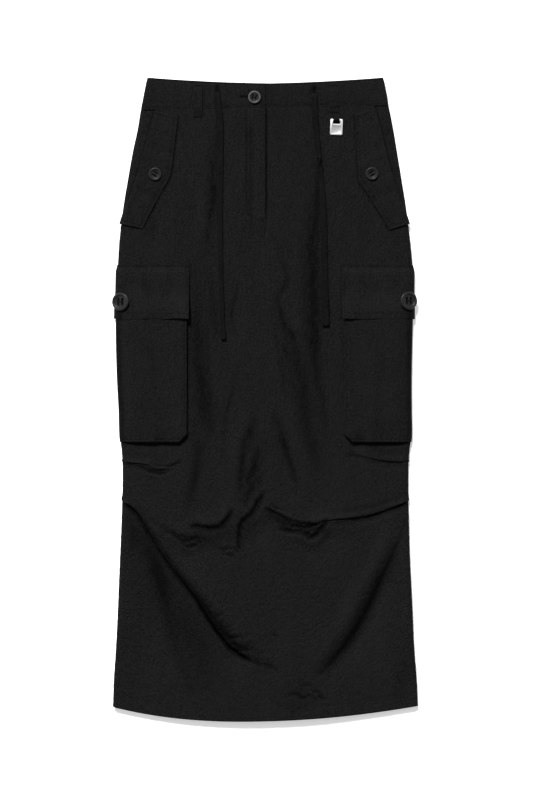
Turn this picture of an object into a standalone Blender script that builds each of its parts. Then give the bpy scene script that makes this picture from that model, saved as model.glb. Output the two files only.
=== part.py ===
"""Long cargo utility skirt in black nylon, laid flat and face up.

The skirt is one flattened tube of cloth. Every place on it has a u, the distance round the tube
from the centre front line (positive towards the wearer's left), and a down, the distance below
the top corners of the waist. Panels, flaps, pockets and straps are patches of that tube, moved
out by what lies under them. Lengths are in metres, +Z is up and +Y runs towards the waist.
"""

import math
from typing import NamedTuple

import bpy
import numpy as np
from mathutils import Matrix, Vector

RIGHT = -1
LEFT = 1
SIDE_NAMES = {RIGHT: "right", LEFT: "left"}

# Cloth and seams
WALL = 0.0012
BAND_WALL = 0.0020
STRAP_WALL = 0.0014
GAP = 0.0003
SEAM_GAP = 0.0006
LAY_GAP = 0.0004
PITCH = WALL + GAP

# The tube
TOP_Y = 0.458
WAIST_DIP = 0.0088
BAND_BOTTOM = 0.0435
BAND_SLANT = -0.0032
HEM_SIDE = 0.8903
HEM_DROP = 0.0245
HEM_SKEW = -0.006
FOLD_REACH = 0.0065
FOLD_ARC = 0.0175
SIDE_HEIGHT = 0.0105
SEAM_HEIGHT = 0.0062
CROWN = 0.0042

# Fly and lap
FLY_END = 0.198
FLY_TAB = 0.0085
LAP_TAB = 0.034

# Slant hip pockets
MOUTH_END = 0.2112
FACING_END = 0.2085
HIP_FLAP_REST = 0.0007

# Cargo pockets
POCKET_INNER = 0.1120
POCKET_TOP = 0.2760
POCKET_BOTTOM = 0.5180
POCKET_CORNER = 0.0110
POCKET_DEPTH = 0.0060
CARGO_FLAP_INNER = 0.1085
CARGO_FLAP_TOP = 0.2665
CARGO_FLAP_BOTTOM = 0.3435
CARGO_FLAP_FLARE = 0.0015
GUSSET_SPREAD = 0.0040

# Straps
LOOP_WIDTH = 0.0130
LOOP_ARCH = 0.0052
LOOP_TOP = 0.0095
LOOP_END = 0.0565
TAGGED_LOOP_END = 0.0502
TIE_WALL = 0.0014
TIE_REST = 0.0009

# Metal tag
TAG_PLACE = (0.1003, 0.0612)
TAG_TURN = math.radians(-2.0)
TAG_LEAN = math.radians(3.4)
TAG_WIDTH = 0.0184
TAG_LENGTH = 0.0214
TAG_WALL = 0.0016
TAG_POST = 0.0045
TAG_SLOT_LOW = 0.0045
TAG_TOP = 0.0020
BAR_RADIUS = 0.0009
STRIP_WIDTH = 0.0086
STRIP_WALL = 0.0010
BAR_HEIGHT = 0.0025


class SideRow(NamedTuple):
    """Half width of the laid skirt at one height, for the wearer's right and left."""

    down: float
    right: float
    left: float


SIDE_LINE = (
    SideRow(0.000, 0.1684, 0.1674),
    SideRow(0.021, 0.1725, 0.1713),
    SideRow(0.046, 0.1777, 0.1761),
    SideRow(0.072, 0.1819, 0.1812),
    SideRow(0.106, 0.1891, 0.1869),
    SideRow(0.148, 0.1965, 0.1937),
    SideRow(0.180, 0.2019, 0.1988),
    SideRow(0.208, 0.2055, 0.2024),
    SideRow(0.240, 0.2087, 0.2063),
    SideRow(0.265, 0.2101, 0.2084),
    SideRow(0.300, 0.2110, 0.2086),
    SideRow(0.345, 0.2118, 0.2078),
    SideRow(0.390, 0.2113, 0.2067),
    SideRow(0.430, 0.2100, 0.2061),
    SideRow(0.475, 0.2077, 0.2063),
    SideRow(0.510, 0.2067, 0.2066),
    SideRow(0.540, 0.2041, 0.2037),
    SideRow(0.572, 0.2034, 0.2029),
    SideRow(0.603, 0.2042, 0.2032),
    SideRow(0.640, 0.2054, 0.2040),
    SideRow(0.680, 0.2071, 0.2051),
    SideRow(0.715, 0.2086, 0.2068),
    SideRow(0.752, 0.2101, 0.2087),
    SideRow(0.812, 0.2131, 0.2114),
    SideRow(0.856, 0.2160, 0.2148),
    SideRow(0.916, 0.2178, 0.2172),
)


class MouthRow(NamedTuple):
    """How far inboard of the side seam the slanted pocket mouth lies."""

    down: float
    inboard: float


POCKET_MOUTH = (
    MouthRow(0.0460, 0.0232),
    MouthRow(0.0880, 0.0200),
    MouthRow(0.1350, 0.0161),
    MouthRow(0.1600, 0.0118),
    MouthRow(0.1800, 0.0088),
    MouthRow(0.2092, 0.0050),
    MouthRow(MOUTH_END, 0.0000),
)


class FlapRow(NamedTuple):
    """One line across a hip flap, from its sewn outer edge to its free inner edge."""

    outer_down: float
    inner_down: float
    inner_across: float


HIP_FLAP_ROWS = {
    RIGHT: (
        FlapRow(0.0478, 0.0560, 0.1243),
        FlapRow(0.0700, 0.0840, 0.1277),
        FlapRow(0.0950, 0.1130, 0.1313),
        FlapRow(0.1230, 0.1410, 0.1352),
        FlapRow(0.1480, 0.1640, 0.1482),
        FlapRow(0.1740, 0.1880, 0.1612),
        FlapRow(0.1950, 0.2060, 0.1703),
        FlapRow(0.2085, 0.2150, 0.1750),
    ),
    LEFT: (
        FlapRow(0.0440, 0.0535, 0.1262),
        FlapRow(0.0680, 0.0840, 0.1285),
        FlapRow(0.0950, 0.1170, 0.1305),
        FlapRow(0.1250, 0.1480, 0.1325),
        FlapRow(0.1500, 0.1690, 0.1465),
        FlapRow(0.1750, 0.1900, 0.1597),
        FlapRow(0.1950, 0.2070, 0.1705),
        FlapRow(0.2085, 0.2168, 0.1762),
    ),
}


class TuckRow(NamedTuple):
    """Where a side tuck's folded edge runs, by its distance in from the side seam."""

    inboard: float
    down: float


class Tuck(NamedTuple):
    """A pleat folded under at the side seam that dies away towards the centre."""

    depth: float
    reach: float
    end: float
    line: tuple


TUCKS = {
    RIGHT: (
        Tuck(0.0085, 0.058, 0.100, (
            TuckRow(0.000, 0.5470), TuckRow(0.030, 0.5535),
            TuckRow(0.061, 0.5590), TuckRow(0.090, 0.5480), TuckRow(0.206, 0.5460),
        )),
        Tuck(0.0095, 0.056, 0.125, (
            TuckRow(0.000, 0.6020), TuckRow(0.020, 0.6145), TuckRow(0.040, 0.6390),
            TuckRow(0.072, 0.6830), TuckRow(0.105, 0.7020), TuckRow(0.206, 0.7060),
        )),
    ),
    LEFT: (
        Tuck(0.0085, 0.058, 0.100, (
            TuckRow(0.000, 0.5455), TuckRow(0.030, 0.5440),
            TuckRow(0.060, 0.5427), TuckRow(0.090, 0.5400), TuckRow(0.206, 0.5420),
        )),
        Tuck(0.0095, 0.060, 0.150, (
            TuckRow(0.000, 0.6020), TuckRow(0.025, 0.6105), TuckRow(0.050, 0.6190),
            TuckRow(0.090, 0.6255), TuckRow(0.128, 0.6316), TuckRow(0.206, 0.6440),
        )),
    ),
}


class TuckStep(NamedTuple):
    """One line of a tuck's section: folded near the seam, and open where it dies away."""

    drop: float
    limb: float
    lift: float
    open_drop: float
    open_lift: float


TUCK_SECTION = (
    TuckStep(-0.0120, 0.0, 1.0, -0.0120, 1.00),
    TuckStep(-0.0008, 0.0, 1.0, -0.0060, 0.90),
    TuckStep(0.0000, 0.0, 0.5, -0.0030, 0.50),
    TuckStep(-0.0008, 0.0, 0.0, -0.0010, 0.15),
    TuckStep(-0.0008, 1.0, 0.0, 0.0010, -0.15),
    TuckStep(-0.0016, 1.0, -0.5, 0.0030, -0.50),
    TuckStep(-0.0008, 1.0, -1.0, 0.0060, -0.90),
    TuckStep(0.0120, 0.0, -1.0, 0.0120, -1.00),
)
TUCK_MARGIN = 0.0120
LEAST_LIMB = 0.0006


class FoldPoint(NamedTuple):
    """A point that a large fold passes, and how strong the fold is there."""

    across: float
    down: float
    strength: float


class Fold(NamedTuple):
    """A soft ridge, or a trough where height is negative, with a valley below it."""

    height: float
    width: float
    valley: float
    path: tuple


FOLDS = {
    "right_diagonal": Fold(0.0048, 0.0170, 0.60, (
        FoldPoint(-0.157, 0.657, 0.2), FoldPoint(-0.126, 0.703, 0.9), FoldPoint(-0.098, 0.744, 1.0),
        FoldPoint(-0.073, 0.782, 1.0), FoldPoint(-0.048, 0.812, 0.9), FoldPoint(-0.017, 0.831, 0.6),
        FoldPoint(0.019, 0.843, 0.0),
    )),
    "left_diagonal": Fold(0.0048, 0.0170, 0.60, (
        FoldPoint(0.190, 0.645, 0.1), FoldPoint(0.177, 0.679, 0.8), FoldPoint(0.1615, 0.7135, 1.0),
        FoldPoint(0.1396, 0.754, 1.0), FoldPoint(0.1177, 0.7915, 0.9), FoldPoint(0.0927, 0.826, 0.6),
        FoldPoint(0.074, 0.848, 0.0),
    )),
    "left_tuck_run": Fold(0.0030, 0.0140, 0.50, (
        FoldPoint(0.120, 0.629, 0.3), FoldPoint(0.077, 0.633, 1.0), FoldPoint(0.064, 0.650, 0.7),
        FoldPoint(0.021, 0.640, 0.0),
    )),
    "right_crumple": Fold(0.0032, 0.0150, 0.50, (
        FoldPoint(-0.136, 0.646, 0.1), FoldPoint(-0.116, 0.655, 0.8), FoldPoint(-0.095, 0.641, 0.9),
        FoldPoint(-0.0666, 0.638, 0.9), FoldPoint(-0.048, 0.617, 0.5), FoldPoint(-0.030, 0.598, 0.0),
    )),
    "centre_crease": Fold(0.0026, 0.0150, 0.50, (
        FoldPoint(-0.004, 0.595, 0.0), FoldPoint(-0.020, 0.623, 1.0), FoldPoint(-0.036, 0.643, 0.8),
        FoldPoint(-0.040, 0.664, 0.0),
    )),
    "right_hollow": Fold(-0.0026, 0.0260, 0.00, (
        FoldPoint(-0.172, 0.690, 0.0), FoldPoint(-0.155, 0.745, 0.9), FoldPoint(-0.140, 0.800, 1.0),
        FoldPoint(-0.125, 0.866, 0.4),
    )),
    "left_hollow": Fold(-0.0024, 0.0260, 0.00, (
        FoldPoint(0.186, 0.700, 0.0), FoldPoint(0.172, 0.750, 0.9), FoldPoint(0.150, 0.815, 1.0),
        FoldPoint(0.132, 0.875, 0.4),
    )),
    "right_pocket_valley": Fold(-0.0014, 0.0140, 0.0, (
        FoldPoint(-0.086, 0.330, 0.0), FoldPoint(-0.091, 0.400, 1.0), FoldPoint(-0.094, 0.450, 1.0),
        FoldPoint(-0.088, 0.520, 0.0),
    )),
    "left_pocket_valley": Fold(-0.0012, 0.0140, 0.0, (
        FoldPoint(0.086, 0.220, 0.0), FoldPoint(0.090, 0.320, 0.8), FoldPoint(0.094, 0.400, 0.8),
        FoldPoint(0.090, 0.480, 0.0),
    )),
    "centre_fork_right": Fold(0.0020, 0.0170, 0.00, (
        FoldPoint(-0.002, 0.455, 0.0), FoldPoint(-0.012, 0.500, 1.0), FoldPoint(-0.035, 0.574, 0.0),
    )),
    "centre_fork_left": Fold(0.0020, 0.0170, 0.00, (
        FoldPoint(0.004, 0.455, 0.0), FoldPoint(0.018, 0.510, 1.0), FoldPoint(0.046, 0.588, 0.0),
    )),
    "upper_drape": Fold(0.0016, 0.0170, 0.00, (
        FoldPoint(0.010, 0.227, 0.0), FoldPoint(0.018, 0.318, 1.0), FoldPoint(0.040, 0.365, 1.0),
        FoldPoint(0.045, 0.443, 0.0),
    )),
}


class TieRow(NamedTuple):
    """A point on a drawcord tie's run, with the tie's width there."""

    down: float
    across: float
    width: float


TIES = {
    RIGHT: (
        TieRow(0.0215, -0.0690, 0.0085), TieRow(0.0600, -0.0655, 0.0100),
        TieRow(0.1400, -0.0655, 0.0100), TieRow(0.2000, -0.0650, 0.0080),
        TieRow(0.2800, -0.0635, 0.0066), TieRow(0.3718, -0.0600, 0.0060),
    ),
    LEFT: (
        TieRow(0.0230, 0.0690, 0.0085), TieRow(0.0600, 0.0705, 0.0090),
        TieRow(0.1190, 0.0765, 0.0060), TieRow(0.1900, 0.0815, 0.0094),
        TieRow(0.2800, 0.0838, 0.0090), TieRow(0.3520, 0.0850, 0.0090),
    ),
}
TIE_END_LENGTH = {RIGHT: 0.0130, LEFT: 0.0400}
TIE_END_WIDTH = {RIGHT: 0.0076, LEFT: 0.0100}


class ButtonPlace(NamedTuple):
    """A slotted button: its size, where it is sewn, and how its slots are turned."""

    name: str
    diameter: float
    side: int
    across: float
    down: float
    slot_turn: float


WAIST_BUTTON = ButtonPlace("waist_button", 0.0183, RIGHT, 0.0159, 0.0281, math.radians(-8))
HIP_BUTTONS = (
    ButtonPlace("hip_button_right", 0.0187, RIGHT, 0.1569, 0.1377, math.radians(58)),
    ButtonPlace("hip_button_left", 0.0187, LEFT, 0.1507, 0.1372, math.radians(-58)),
)
CARGO_BUTTONS = (
    ButtonPlace("cargo_button_right", 0.0260, RIGHT, 0.0, 0.3190, 0.0),
    ButtonPlace("cargo_button_left", 0.0260, LEFT, 0.0, 0.3175, 0.0),
)
CARGO_BUTTON_REACH = 0.0015
CARGO_BUTTON_REST = 0.0008
BUTTON_SEGMENTS = 24


class Finish(NamedTuple):
    """Base colour, roughness and metallic value of a material."""

    color: tuple
    roughness: float
    metallic: float


NYLON = Finish((0.012, 0.012, 0.013), 0.55, 0.0)
TIE_NYLON = Finish((0.008, 0.008, 0.009), 0.60, 0.0)
BUTTON_PLASTIC = Finish((0.020, 0.020, 0.021), 0.35, 0.0)
STEEL = Finish((0.66, 0.66, 0.65), 0.30, 1.0)


# --- Small mathematics ------------------------------------------------------------------------

def smooth(value, start, end):
    """0 before start, 1 after end and a soft S between."""
    share = np.clip((value - start) / (end - start), 0.0, 1.0)
    return share * share * (3.0 - 2.0 * share)


def window(value, low, high, ramp):
    """1 from low to high, falling to 0 over ramp outside."""
    return smooth(value, low - ramp, low) * (1.0 - smooth(value, high, high + ramp))


def blend(first, second, share):
    """first at share 0 and second at share 1."""
    return first + (second - first) * share


def read(table, place, column, at):
    """The named column at a place, on a smooth curve through the table's rows."""
    xs = np.array([getattr(row, place) for row in table])
    ys = np.array([getattr(row, column) for row in table])
    slopes = np.gradient(ys, xs)
    at = np.clip(at, xs[0], xs[-1])
    i = np.clip(np.searchsorted(xs, at, side="right") - 1, 0, len(xs) - 2)
    span = xs[i + 1] - xs[i]
    t = (at - xs[i]) / span
    start = (2 * t**3 - 3 * t**2 + 1) * ys[i] + (t**3 - 2 * t**2 + t) * span * slopes[i]
    end = (3 * t**2 - 2 * t**3) * ys[i + 1] + (t**3 - t**2) * span * slopes[i + 1]
    return start + end


def side_of(u):
    """Which half of the skirt a place is on."""
    return np.where(np.asarray(u) < 0, RIGHT, LEFT)


# --- The tube of cloth ------------------------------------------------------------------------

def half_width(side, down):
    """Distance from the centre line to the outermost point of the side fold."""
    right = read(SIDE_LINE, "down", "right", down)
    left = read(SIDE_LINE, "down", "left", down)
    return np.where(np.asarray(side) == RIGHT, right, left)


def flat_reach(side, down):
    """Where the flat front ends and the side fold begins."""
    return half_width(side, down) - FOLD_REACH


def seam_u(side, down):
    """Distance round the tube to the side seam."""
    return flat_reach(side, down) + FOLD_ARC / 2


def station(u, down):
    """-1 at the right side seam, 0 at centre front and centre back, 1 at the left side seam."""
    share = np.abs(u) / seam_u(side_of(u), down)
    return side_of(u) * np.where(share <= 1.0, share, 2.0 - share)


def waist_line(place):
    """The top edge's distance down at a station."""
    return WAIST_DIP * (1.0 - np.abs(place) ** 1.5)


def band_seam(place):
    """The waistband's lower seam at a station."""
    return BAND_BOTTOM + BAND_SLANT * place


def hem_line(place):
    """The hem's distance down at a station."""
    return HEM_SIDE + HEM_DROP * (1.0 - np.abs(place) ** 2.2) + HEM_SKEW * place * (1.0 - place**2)


def fold_lift(fold, across, down):
    """Height that one large fold adds to the front at a place."""
    nearest = np.full(np.shape(across), np.inf)
    lift = np.zeros(np.shape(across))
    for a, b in zip(fold.path[:-1], fold.path[1:]):
        run = np.array([b.across - a.across, b.down - a.down])
        length = math.hypot(*run)
        along = ((across - a.across) * run[0] + (down - a.down) * run[1]) / length**2
        along = np.clip(along, 0.0, 1.0)
        off = np.hypot(across - a.across - along * run[0], down - a.down - along * run[1])
        below = np.sign((down - a.down) * abs(run[0]) - (across - a.across) * run[1] * np.sign(run[0]))
        place = off * below / fold.width
        ridge = np.exp(-(place**2)) - fold.valley * np.exp(-(((place - 1.8) / 1.3) ** 2))
        closer = off < nearest
        lift = np.where(closer, fold.height * blend(a.strength, b.strength, along) * ridge, lift)
        nearest = np.where(closer, off, nearest)
    return lift


def back_height(across, down):
    """Height of the back's underside: it rises over the flaps, pockets and loop beneath it."""
    reach = np.abs(across)
    pocket = window(down, POCKET_TOP, POCKET_BOTTOM, 0.008) * smooth(reach, 0.098, 0.106)
    flap = window(down, CARGO_FLAP_TOP, CARGO_FLAP_BOTTOM, 0.008) * smooth(reach, 0.098, 0.106)
    loop = window(down, LOOP_TOP - 0.003, LOOP_END, 0.008) * (1.0 - smooth(reach, 0.0075, 0.0155))
    return (WALL + LAY_GAP) * (pocket + flap) + (STRAP_WALL + GAP) * loop


def front_height(across, down):
    """Height of the front's outer face above the surface that the skirt lies on."""
    reach = np.abs(across) / flat_reach(side_of(across), down)
    crown = CROWN * (1.0 - np.clip(reach, 0.0, 1.0) ** 2) ** 2
    folds = sum(fold_lift(fold, across, down) for fold in FOLDS.values())
    fade = 1.0 - smooth(reach, 0.90, 0.98)
    return SIDE_HEIGHT + crown + folds * fade


def tube_point(u, down):
    """The outer face of the tube at a place: flat front, round side fold, flat back."""
    side = side_of(u)
    along = np.abs(u)
    flat = flat_reach(side, down)
    turn = np.clip((along - flat) / FOLD_ARC, 0.0, 1.0) * math.pi
    under = np.maximum(along - flat - FOLD_ARC, 0.0)
    front = np.minimum(along, flat)
    across = front + FOLD_REACH * np.sin(turn) - under
    top = front_height(side * front, down)
    low = back_height(side * (flat - under), down)
    half = np.where(turn < math.pi / 2, top - SEAM_HEIGHT, SEAM_HEIGHT - low)
    height = SEAM_HEIGHT + half * np.cos(turn)
    return np.stack(np.broadcast_arrays(side * across, TOP_Y - down, height), axis=-1)


def unit(vectors):
    """Vectors scaled to length 1."""
    return vectors / np.linalg.norm(vectors, axis=-1, keepdims=True)


def tube_frame(u, down):
    """Point, outward normal and downward tangent of the tube."""
    step = 0.0004
    u, down = np.broadcast_arrays(np.asarray(u, float), np.asarray(down, float))
    around = tube_point(u + step, down) - tube_point(u - step, down)
    tangent = unit(tube_point(u, down + step) - tube_point(u, down - step))
    normal = unit(np.cross(tangent, around))
    return tube_point(u, down), normal, tangent


# --- Building -----------------------------------------------------------------------------------

def material(name, finish):
    """A Principled material with one colour, roughness and metallic value."""
    made = bpy.data.materials.new(name)
    made.use_nodes = True
    shader = made.node_tree.nodes["Principled BSDF"]
    shader.inputs["Base Color"].default_value = (*finish.color, 1.0)
    shader.inputs["Roughness"].default_value = finish.roughness
    shader.inputs["Metallic"].default_value = finish.metallic
    return made


def add_object(name, vertices, faces, finish):
    """A mesh object with its own material, shaded smooth up to 40 degrees."""
    mesh = bpy.data.meshes.new(name)
    mesh.from_pydata([tuple(v) for v in vertices], [], faces)
    mesh.materials.append(material(name, finish))
    mesh.shade_smooth()
    mesh.set_sharp_from_angle(angle=math.radians(40))
    made = bpy.data.objects.new(name, mesh)
    bpy.context.scene.collection.objects.link(made)
    return made


def grid_normals(middle):
    """Normals of a grid of points, from its rows and columns."""
    return unit(np.cross(np.gradient(middle, axis=0), np.gradient(middle, axis=1)))


def wall(name, middle, normal, thickness, finish):
    """A closed wall of cloth about a grid of points, half its thickness to each side."""
    rows, columns = middle.shape[:2]
    half = normal * thickness / 2
    vertices = np.concatenate([(middle + half).reshape(-1, 3), (middle - half).reshape(-1, 3)])
    count = rows * columns
    faces = []
    for r in range(rows - 1):
        for c in range(columns - 1):
            a = r * columns + c
            for face in ((a, a + columns, a + columns + 1), (a, a + columns + 1, a + 1)):
                faces.append(face)
                faces.append(tuple(v + count for v in reversed(face)))
    top = list(range(columns))
    right = [r * columns + columns - 1 for r in range(1, rows)]
    bottom = [(rows - 1) * columns + c for c in range(columns - 2, -1, -1)]
    left = [r * columns for r in range(rows - 2, 0, -1)]
    rim = top + right + bottom + left
    for a, b in zip(rim, rim[1:] + rim[:1]):
        faces.append((a, b, b + count, a + count))
    if np.sum(grid_normals(middle) * normal) < 0:
        faces = [tuple(reversed(face)) for face in faces]
    return add_object(name, vertices, faces, finish)


def lay(name, u, down, rest, thickness, finish=NYLON):
    """A patch laid on the tube, its underside rest above the tube's outer face."""
    point, normal, _ = tube_frame(u, down)
    middle = point + normal * np.asarray(rest + thickness / 2 + np.zeros(np.shape(u)))[..., None]
    return wall(name, middle, normal, thickness, finish)


# --- Front and back panels ------------------------------------------------------------------------

def outward(shares, arcs):
    """Column rule: shares of the flat reach first, then steps round the side fold."""
    share = np.array(list(shares) + [1.0] * len(arcs))
    step = np.array([0.0] * len(shares) + [FOLD_ARC / 2 * arc for arc in arcs])
    return share, step


FRONT_COLUMNS = outward(
    (0.0, 0.05, 0.15, 0.26, 0.37, 0.48, 0.59, 0.70, 0.80, 0.90, 1.0), (1 / 3, 2 / 3, 1.0)
)
UPPER_ROWS = (0.088, 0.123, 0.160, 0.185, 0.198, 0.2092, MOUTH_END, 0.228, 0.2670, 0.290,
              0.310, 0.3435, 0.410, 0.465, 0.5070, 0.5225)
BETWEEN_ROWS = (0.25, 0.5, 0.75)
LOWER_ROWS = (0.06, 0.15, 0.26, 0.38, 0.50, 0.62, 0.74, 0.87, 1.0)
BACK_PLACES = (0.150, 0.108, 0.098, 0.060, 0.0155, 0.0075, 0.0)
BACK_ROWS = (0.0575, 0.0655, 0.150, 0.2585, 0.2670, 0.2765, 0.290, 0.310, 0.3435, 0.3520, 0.410,
             0.465, 0.5070, 0.5180, 0.5265, 0.585, 0.650, 0.720, 0.810)


def mouth_inboard(down):
    """How far inboard of the side seam a front panel ends."""
    downs, inboards = zip(*POCKET_MOUTH)
    return np.interp(down, downs, inboards)


def front_reach(side, down):
    """Distance round the tube of each column of a front panel, each at its own height."""
    share, step = FRONT_COLUMNS
    down = down + np.zeros(len(share))
    outer = seam_u(side, down) - mouth_inboard(down) - SEAM_GAP / 2
    tab = FLY_TAB * (1.0 - smooth(down, 0.185, FLY_END)) * (side == LEFT)
    return blend(GAP / 2 - tab, outer - FOLD_ARC / 2, share) + step


def tuck_rows(tuck, inboard):
    """A tuck's folded edge, and the down and lift of each line of its section."""
    line = read(tuck.line, "inboard", "down", inboard)
    depth = np.maximum(tuck.depth * (1.0 - smooth(inboard, 0.006, tuck.reach)), LEAST_LIMB)
    opened = smooth(inboard, 0.75 * tuck.reach, 1.25 * tuck.reach)
    fade = 1.0 - smooth(inboard, tuck.reach, tuck.end)
    rows = []
    for step in TUCK_SECTION:
        drop = blend(step.drop - step.limb * depth, step.open_drop, opened)
        rows.append((line + drop, blend(step.lift, step.open_lift, opened) * fade * PITCH))
    return line, rows


def front_rows(side):
    """Down and lift of every point of a front panel, row by row."""
    upper_line, upper = tuck_rows(TUCKS[side][0], seam_u(side, 0.55) - front_reach(side, 0.55))
    lower_line, lower = tuck_rows(TUCKS[side][1], seam_u(side, 0.62) - front_reach(side, 0.62))
    place = side * front_reach(side, 0.88) / seam_u(side, 0.88)
    level = np.zeros(len(place))
    rows = [(band_seam(side * front_reach(side, 0.045) / seam_u(side, 0.045)) + GAP / 2, level)]
    rows += [(level + down, level) for down in UPPER_ROWS]
    rows += upper
    for share in BETWEEN_ROWS:
        down = blend(upper_line + TUCK_MARGIN, lower_line - TUCK_MARGIN, share)
        rows.append((down, blend(upper[-1][1], lower[0][1], smooth(share, 0.0, 1.0))))
    rows += lower
    for share in LOWER_ROWS:
        down = blend(lower_line + TUCK_MARGIN, hem_line(place), share)
        rows.append((down, lower[-1][1] * (1.0 - smooth(share, 0.0, 0.15))))
    return np.array([row[0] for row in rows]), np.array([row[1] for row in rows])


def fly_lift(u, down):
    """How far the right front rises to lie over the left front at the fly."""
    return PITCH * (1.0 - smooth(np.abs(u), 0.010, 0.022)) * (1.0 - smooth(down, 0.200, 0.227))


def section_normals(down, lift, normal, tangent):
    """Normals of rows that rise, fall or fold back on themselves."""
    run, rise = np.diff(down, axis=0), np.diff(lift, axis=0)
    length = np.hypot(run, rise)
    out, along = run / length, -rise / length
    out = np.concatenate([out[:1], out[:-1] + out[1:], out[-1:]])
    along = np.concatenate([along[:1], along[:-1] + along[1:], along[-1:]])
    return unit(normal * out[..., None] + tangent * along[..., None])


def make_front(side):
    """A front panel with its slanted pocket mouth, side tucks and hem."""
    down, lift = front_rows(side)
    u = side * np.array([front_reach(side, row) for row in down])
    point, normal, tangent = tube_frame(u, down)
    folded = section_normals(down, lift, normal, tangent)
    raised = lift - WALL / 2 + fly_lift(u, down) * (side == RIGHT)
    return wall(f"front_{SIDE_NAMES[side]}", point + normal * raised[..., None], folded, WALL, NYLON)


def back_line(side, row):
    """One row of the back, from the side seam to the centre back: places round the tube, downs."""
    seam = seam_u(side, row(side))
    arcs = np.array([SEAM_GAP / 2] + [FOLD_ARC / 2 * step for step in (1 / 3, 2 / 3, 1.0)])
    places = np.array(BACK_PLACES)
    down = row(station(side * np.concatenate([seam + arcs, 2 * seam - places]), row(side)))
    seams = seam_u(side, down)
    reach = np.concatenate([seams[:4] + arcs, 2 * seams[4:] - places])
    return side * reach, down


def back_grid(rows):
    """Places of a back piece from the left side seam under the skirt to the right one."""
    u, down = [], []
    for row in rows:
        left, left_down = back_line(LEFT, row)
        right, right_down = back_line(RIGHT, row)
        u.append(np.concatenate([left, right[-2::-1]]))
        down.append(np.concatenate([left_down, right_down[-2::-1]]))
    return np.array(u), np.array(down)


def level_row(down):
    """A row at one height all the way round."""
    return lambda place: down + 0.0 * place


def make_back():
    """The one-piece back panel."""
    rows = [lambda place: band_seam(place) + GAP / 2]
    rows += [level_row(down) for down in BACK_ROWS]
    rows += [hem_line]
    u, down = back_grid(rows)
    return lay("back", u, down, -WALL, WALL)


# --- Waistband --------------------------------------------------------------------------------------

BAND_LIFT = BAND_WALL + GAP
RIGHT_BAND_PLACES = (GAP / 2, 0.018, 0.036, 0.047, 0.058, 0.090, 0.120)
LEFT_BAND_PLACES = (-LAP_TAB, -0.017, 0.0, 0.030, 0.060, 0.090, 0.120)
BAND_SHARES = (0.0, 0.5, 1.0)


def band_row(share):
    """A line along the waistband, from its top edge at 0 to its seam at 1."""
    return lambda place: blend(waist_line(place), band_seam(place) - GAP / 2, share)


def make_front_band(side, places):
    """Half of the front waistband, from the centre front out to the side seam."""
    u, down = [], []
    for share in BAND_SHARES:
        row = band_row(share)
        flat = float(flat_reach(side, row(side)))
        arc = [FOLD_ARC / 2 * step for step in (0.0, 1 / 3, 2 / 3)] + [(FOLD_ARC - SEAM_GAP) / 2]
        reach = np.array(list(places) + [0.88 * flat] + [flat + step for step in arc])
        u.append(side * reach)
        down.append(row(station(side * np.abs(reach), 0.02)))
    u, down = np.array(u), np.array(down)
    over = BAND_LIFT * (1.0 - smooth(np.abs(u), 0.037, 0.057)) * (side == RIGHT)
    return lay(f"waistband_{SIDE_NAMES[side]}", u, down, over - BAND_WALL, BAND_WALL)


def make_back_band():
    """The waistband across the back."""
    u, down = back_grid([band_row(share) for share in BAND_SHARES])
    return lay("waistband_back", u, down, -BAND_WALL, BAND_WALL)


# --- Hip pockets --------------------------------------------------------------------------------------

def make_facing(side):
    """The piece of cloth between the slanted pocket mouth and the side seam."""
    shares = np.array((0.0, 0.35, 0.60, 0.80, 1.0))
    place = side * blend(0.87, 1.0, shares)
    down = [band_seam(place) + GAP]
    down += [row + 0.0 * shares for row in (0.088, 0.123, 0.160, 0.185, 0.198)]
    down += [FACING_END + 0.0018 * shares]
    down = np.array(down)
    seam = seam_u(side, down)
    inner = seam - mouth_inboard(down) + SEAM_GAP / 2
    u = side * blend(inner, seam - SEAM_GAP / 2, shares)
    return lay(f"hip_facing_{SIDE_NAMES[side]}", u, down, -WALL, WALL)


def make_hip_flap(side):
    """The long slanted flap that covers a hip pocket's mouth."""
    u, down, rest = [], [], []
    for row in HIP_FLAP_ROWS[side]:
        over = 0.0012 + 0.0024 * smooth(row.outer_down, 0.170, 0.2085)
        outer = float(seam_u(side, row.outer_down) - mouth_inboard(row.outer_down)) + over
        edge = [outer - 0.0082, outer - 0.0054, outer - 0.0027, outer]
        reach = np.concatenate([np.linspace(row.inner_across, outer - 0.0110, 4), edge])
        share = (reach - row.inner_across) / (outer - row.inner_across)
        u.append(side * reach)
        down.append(blend(row.inner_down, row.outer_down, share))
        rest.append(HIP_FLAP_REST * (1.0 + smooth(reach, outer - 0.0110, outer)))
    return lay(f"hip_flap_{SIDE_NAMES[side]}", np.array(u), np.array(down), np.array(rest), WALL)


# --- Cargo pockets --------------------------------------------------------------------------------------

WRAP_PLACES = (0.135, 0.165)
WRAP_INSETS = (0.0160, 0.0080)
WRAP_ARCS = (0.0, 1 / 6, 2 / 6, 3 / 6, 4 / 6, 5 / 6, 1.0)
POCKET_ROWS = (POCKET_TOP, 0.290, 0.310, CARGO_FLAP_BOTTOM, 0.3520, 0.410, 0.465,
               POCKET_BOTTOM - POCKET_CORNER, POCKET_BOTTOM)
CARGO_FLAP_ROWS = (CARGO_FLAP_TOP, 0.2700, 0.2730, POCKET_TOP, 0.290, 0.310, 0.328, CARGO_FLAP_BOTTOM)


def wrapped(side, down, inner):
    """Columns of a piece that wraps the side fold, as far behind as in front."""
    seam, flat = seam_u(side, down), flat_reach(side, down)
    front = [inner] + list(WRAP_PLACES)
    arc = [flat - inset for inset in WRAP_INSETS] + [flat + FOLD_ARC * step for step in WRAP_ARCS]
    return np.array(front + arc + [2 * seam - place for place in reversed(front)], float)


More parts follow.
